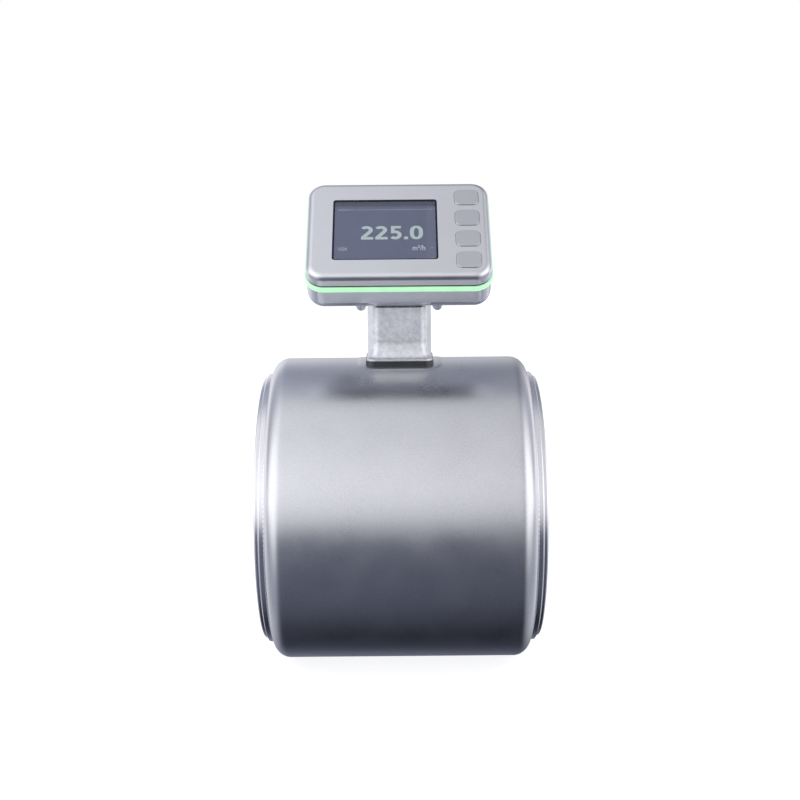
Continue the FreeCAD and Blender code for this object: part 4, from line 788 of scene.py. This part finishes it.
@dataclass
class PlugSocket:
    """The round plug socket on the back of the head, with its real thread.

    Attributes:
        paint: the materials.
        tilt: the head's axes.
        record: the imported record.
        pitch: rise of the thread in one turn.
        thread_depth: depth of its grooves.
        groove_gain: steepness of a groove's flanks, 1 for a plain ramp.
        thread_start: from the tip to the outside's first point.
        run_in: length over which the thread deepens from the tip.
        run_out: plain length before the flange.
        run_out_fade: length over which the thread fades there.
        wall: thickness of the shell.
        tip_edge: size of the bevel inside the tip.
        collar: rise of the part behind the flange over the thread.
        flange_rim: rise of the flange over the thread.
        flange_height: thickness of the flange.
        flange_edges: sizes of the flange's bevels, outside and towards the head.
        knurls: teeth round the flange's rim.
        knurl_depth: depth of the grooves between them.
        along_steps: points along the thread.
        round_steps: points round the socket.
    """

    paint: Paintbox
    tilt: Tilt
    record: dict
    pitch: float = 1.0 * MM
    thread_depth: float = 0.6 * MM
    groove_gain: float = 1.25
    thread_start: float = 0.4 * MM
    run_in: float = 1.2 * MM
    run_out: float = 1.2 * MM
    run_out_fade: float = 0.5 * MM
    wall: float = 1.2 * MM
    tip_edge: float = 0.2 * MM
    collar: float = 1.8 * MM
    flange_rim: float = 3.0 * MM
    flange_height: float = 2.5 * MM
    flange_edges: Pair = (0.4 * MM, 0.3 * MM)
    knurls: int = 60
    knurl_depth: float = 0.12 * MM
    along_steps: int = 120
    round_steps: int = 180

    def build(self) -> None:
        """Build the threaded shell.

        Its outside is r(s, t) = profile(s) less the thread's depth times a rounded
        sawtooth of (height / pitch - t / 2 pi), faded out at both ends of the thread. The
        flange's rim carries a straight knurl of 60 teeth.
        """
        dims = mount(self.record, "plug_thread")["dims"]
        radius, length = dims["r_mm"] * MM, dims["length_mm"] * MM
        low, high = self.tilt.extents(bpy.data.objects["connector_socket"])
        centre = (low[:2] + high[:2]) / 2
        tip, inside = low[2], high[2]
        shoulder = tip + length
        neck = radius + self.collar
        rim = radius + self.flange_rim
        seat = shoulder + self.flange_height
        inner = radius - self.wall
        front, back = self.flange_edges
        z = np.linspace(tip + self.thread_start, shoulder, self.along_steps)
        profile = np.concatenate([
            [(inner, inside), (inner, tip + self.tip_edge), (inner + self.tip_edge, tip),
             (radius - self.thread_depth, tip)],
            np.column_stack([np.full(self.along_steps, radius), z]),
            [(rim - front, shoulder), (rim, shoulder + front), (rim, seat - back),
             (rim - back, seat), (neck, seat), (neck, inside)],
        ])
        t = np.linspace(0.0, 2 * math.pi, self.round_steps, endpoint=False)[:, None]
        plain, height = profile[None, :, 0], profile[None, :, 1]
        r = np.broadcast_to(plain, (self.round_steps, len(profile))).copy()
        phase = (height - tip) / self.pitch - t / (2 * math.pi)
        groove = smooth_step(np.abs((phase % 1.0) * 2 - 1) * self.groove_gain)
        fade = smooth_step((height - tip) / self.run_in)
        fade = fade * smooth_step((shoulder - self.run_out - height) / self.run_out_fade)
        r -= (plain == radius) * self.thread_depth * (1 - (1 - groove) * fade)
        r -= (plain == rim) * self.knurl_depth * (1 + np.cos(self.knurls * t)) / 2
        x, y = centre[0] + r * np.cos(t), centre[1] + r * np.sin(t)
        points = self.tilt.world(x, y, np.broadcast_to(height, r.shape))
        piece("socket_shell", [Sheet(points, wrap_u=True, wrap_v=True)],
              self.paint.get("nut_steel"), ("connector_socket",), sharp=50.0)


# ---- display

@dataclass
class Display:
    """What the display shows behind its glass: panel, a darker band along the top that is painted
    shade, figures and small marks.

    Places on it are from the window's middle.

    Attributes:
        paint: the materials.
        tilt: the head's axes.
        nodes: the CAD nodes.
        flange: reach of the glass past the window in the cover.
        overlap: reach of the panel past the window.
        frame_line: width of the black print.
        print_corners: its outer and inner corner radii.
        header: height of the darker band along the top, painted shade along the window's top edge.
        header_shade: height of that band's darker foot, a deeper painted shade.
        strip: width of the menu strip at the right.
        step: gap between the layers.
        reading_height: height of the large figures.
        reading_width: their width by the plain figures'.
        reading_left: where they begin.
        reading_foot: what they stand on.
        figure_step: from one figure to the next, as a share of its width.
        point_step: the same for the point.
        unit_size: letter size of the unit.
        unit_place: where it begins.
        note_size: letter size of the note.
        note_place: where it begins.
        narrow: width of the small words by the plain letters'.
        bold: their thickening, as a share of their size.
        centre: the window's middle along the head's axes, read from the CAD.
        half: half the window's width and height, read from the CAD.
        face: level of the display's own face, read from the CAD.
    """

    paint: Paintbox
    tilt: Tilt
    nodes: dict[str, bpy.types.Object]
    flange: float = 2.0 * MM
    overlap: float = 0.3 * MM
    frame_line: float = 1.0 * MM
    print_corners: Pair = (1.6 * MM, 0.8 * MM)
    header: float = 3.7 * MM
    header_shade: float = 1.3 * MM
    strip: float = 6.4 * MM
    step: float = 0.03 * MM
    reading_height: float = 9.7 * MM
    reading_width: float = 1.09
    reading_left: float = -13.2 * MM
    reading_foot: float = -5.6 * MM
    figure_step: float = 0.735
    point_step: float = 0.31
    unit_size: float = 5.2 * MM
    unit_place: Pair = (14.6 * MM, -13.6 * MM)
    note_size: float = 3.5 * MM
    note_place: Pair = (-25.8 * MM, -13.4 * MM)
    narrow: float = 0.74
    bold: float = 0.008
    centre: Array = field(init=False)
    half: Array = field(init=False)
    face: float = field(init=False)

    def build(self) -> None:
        """Build every layer, from the panel up to the glass."""
        low, high = self.tilt.extents(self.nodes["display_window"])
        self.centre = (low[:2] + high[:2]) / 2
        self.half = (high[:2] - low[:2]) / 2 - self.flange
        self.face = self.tilt.extents(self.nodes["display_module"])[1][2]
        self.panel()
        self.mask(high[2] + self.step)
        self.figures()
        self.marks()

    def flat(self, name: str, sheets: list[Array], level: float, finish: str) -> None:
        """Make a flat piece.

        Args:
            name: the piece's name.
            sheets: grids of (x, y) from the window's middle.
            level: where it lies along the head's third axis.
            finish: its finish.
        """
        placed = [self.tilt.world(s[..., 0] + self.centre[0], s[..., 1] + self.centre[1],
                                  np.full(s.shape[:2], level)) for s in sheets]
        piece(name, [Sheet(points) for points in placed], self.paint.get(finish))

    def panel(self) -> None:
        """Build the lit panel, the menu strip at its right and the darker band along its top, which
        is painted shade along the window's top edge.
        """
        right, high = self.half + self.overlap
        top = high - self.header
        strip = right - self.strip
        shade = top + self.header_shade
        level = self.face + self.step
        self.flat("display_panel", [bar(-right, -high, strip, top)], level, "panel")
        self.flat("display_strip", [bar(strip, -high, right, top)], level, "strip")
        # These two top bands are painted shade along the window's top edge, darker at their foot.
        self.flat("display_header", [bar(-right, shade, right, high)], level, "header")
        self.flat("display_header_shade", [bar(-right, top, right, shade)], level, "header_shade")

    def mask(self, level: float) -> None:
        """Build the black print on the glass at a level, as a ring between two loops."""
        outer_corner, inner_corner = self.print_corners
        outer = rounded_loop(*self.half, outer_corner)
        inner = rounded_loop(*(self.half - self.frame_line), inner_corner)
        ring = np.stack([inner, outer], axis=0)
        ring = np.concatenate([ring, ring[:, :1]], axis=1)
        self.flat("window_print", [ring], level, "mask")

    def figures(self) -> None:
        """Build the reading 225.0 in heavy figures, and the small words round it."""
        sheets = []
        left = self.reading_left
        for glyph in "225.0":
            scale = (self.reading_height * self.reading_width, self.reading_height)
            sheets += [stroke * scale + (left, self.reading_foot) for stroke in heavy_figure(glyph)]
            left += scale[0] * (self.point_step if glyph == "." else self.figure_step)
        self.flat("display_reading", sheets, self.face + 2 * self.step, "figures")
        self.words("display_unit", "m\u00b3/h", self.unit_size, self.unit_place, "unit")
        self.words("display_note", "1024", self.note_size, self.note_place, "note")

    def words(self, name: str, text: str, size: float, place: Pair,
              finish: str) -> None:
        """Set a short text on the display and make it a mesh.

        Args:
            name: the piece's name.
            text: what it says.
            size: letter size.
            place: where it begins, from the window's middle.
            finish: its finish.
        """
        curve = bpy.data.curves.new(name, "FONT")
        curve.body, curve.size, curve.offset = text, size, size * self.bold
        setter = put(f"{name}_setter", curve)
        bpy.context.view_layer.update()
        drawn = setter.evaluated_get(bpy.context.evaluated_depsgraph_get())
        mesh = bpy.data.meshes.new_from_object(drawn)
        bpy.data.objects.remove(setter)
        flat = np.empty(len(mesh.vertices) * 3)
        mesh.vertices.foreach_get("co", flat)
        local = flat.reshape(-1, 3)
        level = np.full(len(local), self.face + 2 * self.step)
        points = self.tilt.world(local[:, 0] * self.narrow + self.centre[0] + place[0],
                                 local[:, 1] + self.centre[1] + place[1], level)
        mesh.vertices.foreach_set("co", points.ravel())
        mesh.materials.clear()
        mesh.materials.append(self.paint.get(finish))
        add(mesh, name)

    def marks(self) -> None:
        """Build five faint bars.

        They are the line under the band of painted shade along the top, the mark at its right end,
        two short marks in the menu strip, and the title at the line's left end.
        """
        right, top = self.half
        left = -right + 2.6 * MM
        line = top - self.header - 2.1 * MM
        sheets = [bar(left, line, right - 5.6 * MM, line + 0.45 * MM),
                  bar(right - 4.3 * MM, line - 0.1 * MM, right - 2.7 * MM, line + 0.8 * MM),
                  bar(right - 4.2 * MM, -12.0 * MM, right - 2.2 * MM, -11.6 * MM),
                  bar(right - 4.2 * MM, -19.6 * MM, right - 2.4 * MM, -19.1 * MM),
                  bar(left, line - 0.1 * MM, -right + 9.0 * MM, line + 0.75 * MM)]
        self.flat("display_marks", sheets, self.face + 2 * self.step, "faint_marks")


def bar(x0: float, y0: float, x1: float, y1: float) -> Array:
    """Return a rectangle as a grid of one cell, facing +z."""
    return np.array([[(x0, y0), (x0, y1)], [(x1, y0), (x1, y1)]], float)


def ribbon(path: Array, half_width: Array) -> Array:
    """Return a flat band along a path.

    The sides are path +- half width * n, where n is the path's direction turned a quarter.
    """
    along = np.gradient(path, axis=0)
    along /= np.linalg.norm(along, axis=1, keepdims=True)
    side = np.column_stack([-along[:, 1], along[:, 0]]) * np.reshape(half_width, (-1, 1))
    return np.stack([path - side, path + side], axis=1)


def heavy_figure(glyph: str) -> list[Array]:
    """Return the strokes of one heavy figure, 1 high and 0.65 wide.

    0 is a ring between two superellipses, x = a |cos t|^0.85 and y = b |sin t|^0.85. 2 is an
    elliptic bow that runs on into a straight slope, with a bar at its foot. 5 is a bar, an
    upright and an open elliptic bow. The point is a square dot.

    Args:
        glyph: one of 0, 2, 5 and the point.

    Returns:
        Grids of (x, y).
    """
    if glyph == ".":
        return [bar(0.02, 0.0, 0.22, 0.2)]
    if glyph == "0":
        t = np.linspace(0.0, 2 * math.pi, 65)
        c, s = (np.sign(wave) * np.abs(wave) ** 0.85 for wave in (np.cos(t), np.sin(t)))
        loops = [np.column_stack([0.34 + a * c, 0.5 + b * s])
                 for a, b in ((0.13, 0.335), (0.34, 0.505))]
        return [np.stack(loops, axis=1)[::-1]]
    if glyph == "2":
        bow = arc((0.0, 0.0), 1.0, 150.0, -38.0, 28) * (0.225, 0.205) + (0.29, 0.705)
        path = np.concatenate([bow, np.linspace(bow[-1], (0.1, 0.13), 12)[1:]])
        return [ribbon(path, np.linspace(0.095, 0.105, len(path))), bar(0.01, 0.0, 0.64, 0.185)]
    bow = arc((0.0, 0.0), 1.0, 122.0, -142.0, 36) * (0.225, 0.235) + (0.3, 0.33)
    return [ribbon(bow, np.full(36, 0.1)), bar(0.08, 0.82, 0.59, 1.0), bar(0.08, 0.46, 0.265, 0.82)]


# ---- finishes of the CAD nodes

@dataclass
class Dressing:
    """Gives every CAD node the finish that its own material slot names."""

    paint: Paintbox

    def apply(self, nodes: dict[str, bpy.types.Object]) -> None:
        """Dress the CAD nodes, given by name."""
        for node in nodes.values():
            for slot in node.material_slots:
                slot.material = self.paint.get(slot.material.name.split(".")[0])
        log.info("dressed %d nodes", len(nodes))


# ---- studio

# Brightness of the sky by the angle round the pipe's axis: 0 level in front, 90 overhead and
# 180 level behind, in degrees.
ARCH = (
    (-180, 0.62), (-150, 0.25), (-118, 0.045), (-98, 0.02), (-60, 0.1), (-20, 0.11), (-10, 0.14),
    (6, 0.84), (25, 1.05), (65, 0.85), (92, 0.84), (112, 0.41), (140, 0.31), (166, 0.82),
    (180, 0.62),
)
# The same for the panels at both sides.
SIDE_PANEL = (
    (-180, 1.35), (-160, 1.05), (-130, 0.6), (-90, 0.42), (-50, 0.42), (-22, 0.8), (0, 1.5),
    (30, 1.7), (60, 1.6), (90, 1.0), (120, 0.5), (150, 0.5), (170, 1.15), (180, 1.35),
)
# By a direction's own x, from -1 to 1: what the arch is multiplied by, and the side panels' share.
SIDE_FADE = ((-1.0, 1.0), (-0.3, 1.42), (0.3, 0.53), (1.0, 1.0))
SIDE_SHARE = ((-0.6, 1.0), (-0.3, 0.0), (0.3, 0.0), (0.6, 1.0))
# Each lamp's name, place, width and height, and power.
LAMPS = (
    ("overhead lamp", (0.1, -0.5, 1.3), (1.0, 0.8), 4.0),
    ("left lamp", (-1.1, -0.5, 0.4), (0.5, 0.9), 3.0),
    ("right lamp", (1.1, -0.4, 0.4), (0.4, 0.8), 2.0),
)
LAMP_AIM = Vector((0.0, 0.0, 0.05))
WHITE = (1.0, 1.0, 1.0, 1.0)


@dataclass
class Studio:
    """Floor, sky, lamps and camera.

    Attributes:
        lens: focal length in millimetres.
        eye: the camera's place.
        pitch: how far it looks down, in degrees.
        roll: how far it leans, in degrees.
    """

    lens: float = 58.5
    eye: Triple = (0.0, -0.7245, 0.1891)
    pitch: float = 10.0
    roll: float = 0.5

    def build(self, floor_level: float) -> None:
        """Build the whole studio."""
        self.camera()
        self.floor(floor_level)
        self.sky()
        self.lamps()

    def camera(self) -> None:
        """Place the camera: aimed along its pitch, then leaned about its line of sight."""
        data = bpy.data.cameras.new("camera")
        data.lens, data.sensor_width = self.lens, 36.0
        data.clip_start, data.clip_end = 0.01, 50.0
        eye = put("camera", data)
        eye.location = self.eye
        pitch = math.radians(self.pitch)
        forward = Vector((0.0, math.cos(pitch), -math.sin(pitch)))
        eye.rotation_mode = "QUATERNION"
        lean = Quaternion((0.0, 0.0, 1.0), math.radians(-self.roll))
        eye.rotation_quaternion = forward.to_track_quat("-Z", "Y") @ lean
        bpy.context.scene.camera = eye

    def floor(self, level: float) -> None:
        """Build the pale floor: a wide disc with a gentle clear finish."""
        t = np.linspace(0.0, 2 * math.pi, 96, endpoint=False)
        r = np.array([0.001, 0.5, 1.5, 4.0, 9.0])
        points = np.stack([r[:, None] * np.cos(t), r[:, None] * np.sin(t),
                           np.full((len(r), len(t)), level)], axis=-1)
        sheet = Sheet(points, wrap_v=True)
        mesh = bpy.data.meshes.new("floor")
        mesh.from_pydata(points.reshape(-1, 3).tolist(), [], sheet.faces(0).tolist())
        wiring = Wiring("pale floor")
        tone = wiring.noise(wiring.place, scale=3.0)
        wiring.set(Base_Color=wiring.blend(tone, (0.3, 0.3, 0.3), (0.32, 0.32, 0.32)),
                   Roughness=0.9, Emission_Color=WHITE, Emission_Strength=0.84)
        mesh.materials.append(wiring.material)
        floor = put("floor", mesh)
        floor.visible_glossy = False
        floor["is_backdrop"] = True

    def sky(self) -> None:
        """Build the soft surroundings, white to the eye and shaded for everything they light.

        The shade follows the angle round the pipe's axis, atan2(z, -y), which is 0 level in
        front, 90 overhead and 180 level behind. It fades from left to right, and gives way to
        bright side panels where a direction points mostly sideways.
        """
        world = bpy.data.worlds.new("studio")
        world.use_nodes = True
        bpy.context.scene.world = world
        graph = Graph(world.node_tree)
        graph.tree.nodes.clear()
        split = graph.node("ShaderNodeSeparateXYZ")
        graph.feed(split.inputs[0], graph.node("ShaderNodeTexCoord").outputs["Generated"])
        x, y, z = (split.outputs[i] for i in range(3))
        turn = graph.maths("ARCTAN2", z, graph.maths("MULTIPLY", y, -1.0))
        round_axis = graph.maths("MULTIPLY", turn, 1 / math.pi)
        arch, sides = (
            self.ramp(graph, round_axis, [(angle / 180.0, level) for angle, level in stops])
            for stops in (ARCH, SIDE_PANEL))
        fade = self.ramp(graph, x, SIDE_FADE, tinted=False)
        share = self.ramp(graph, x, SIDE_SHARE, tinted=False)
        faded = graph.node("ShaderNodeVectorMath", operation="MULTIPLY")
        graph.feed(faded.inputs[0], arch)
        graph.feed(faded.inputs[1], fade)
        mix = graph.node("ShaderNodeMix", data_type="RGBA")
        for slot, source in (("Factor", share), (6, faded.outputs[0]), (7, sides)):
            graph.feed(mix.inputs[slot], source)
        lit = graph.node("ShaderNodeBackground")
        graph.feed(lit.inputs["Color"], mix.outputs[2])
        white = graph.node("ShaderNodeBackground")
        graph.feed(white.inputs["Color"], WHITE)
        choice = graph.node("ShaderNodeMixShader")
        graph.feed(choice.inputs[0], graph.node("ShaderNodeLightPath").outputs["Is Camera Ray"])
        graph.feed(choice.inputs[1], lit.outputs[0])
        graph.feed(choice.inputs[2], white.outputs[0])
        graph.feed(graph.node("ShaderNodeOutputWorld").inputs[0], choice.outputs[0])

    @staticmethod
    def ramp(graph: Graph, value: Socket, stops: Sequence[Pair],
             tinted: bool = True) -> Socket:
        """Return a brightness that follows a value from -1 to 1.

        Args:
            graph: the world's nodes.
            value: the value that is followed.
            stops: pairs of value and brightness, up to 2.
            tinted: turn the darker stops a little blue, by the square of what they lack of 1.

        Returns:
            The colour socket.
        """
        ramp = graph.node("ShaderNodeValToRGB")
        elements = ramp.color_ramp.elements
        while len(elements) < len(stops):
            elements.new(0.5)
        for element, (place, level) in zip(elements, stops):
            lack = (1 - min(level, 1.0)) ** 2 * tinted
            element.position = place * 0.5 + 0.5
            element.color = (level, level * (1 + 0.1 * lack),
                             level * (1 + 0.05 * tinted + 0.6 * lack), 1.0)
        share = graph.maths("MULTIPLY", graph.maths("ADD", value, 1.0), 0.5)
        graph.feed(ramp.inputs[0], share)
        return ramp.outputs[0]

    def lamps(self) -> None:
        """Hang the soft lamps: one overhead, and one at each side."""
        for name, place, size, power in LAMPS:
            data = bpy.data.lights.new(name, "AREA")
            data.shape, data.energy = "RECTANGLE", power
            data.size, data.size_y = size
            lamp = put(name, data)
            lamp.location = place
            lamp.visible_glossy = False
            lamp.rotation_mode = "QUATERNION"
            lamp.rotation_quaternion = (LAMP_AIM - Vector(place)).to_track_quat("-Z", "Y")


# ---- the whole scene

def main() -> None:
    """Load the meter, dress it, add its fine surfaces and light it."""
    logging.basicConfig(level=logging.INFO, format="%(name)s %(message)s")
    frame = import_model()
    cad_low, cad_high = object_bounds()
    bpy.context.scene.view_settings.view_transform = "Standard"
    paint = Paintbox()
    record = frame["record"]
    tilt = Tilt.of(record)
    Dressing(paint).apply(frame["nodes"])
    # The light guide is faint, so it is left out of what the steel round it mirrors.
    frame["nodes"]["led_ring"].visible_glossy = False
    Drum(paint).build()
    PlugSocket(paint, tilt, record).build()
    Display(paint, tilt, frame["nodes"]).build()
    Studio().build(cad_low.z)


if __name__ == "__main__":
    main()
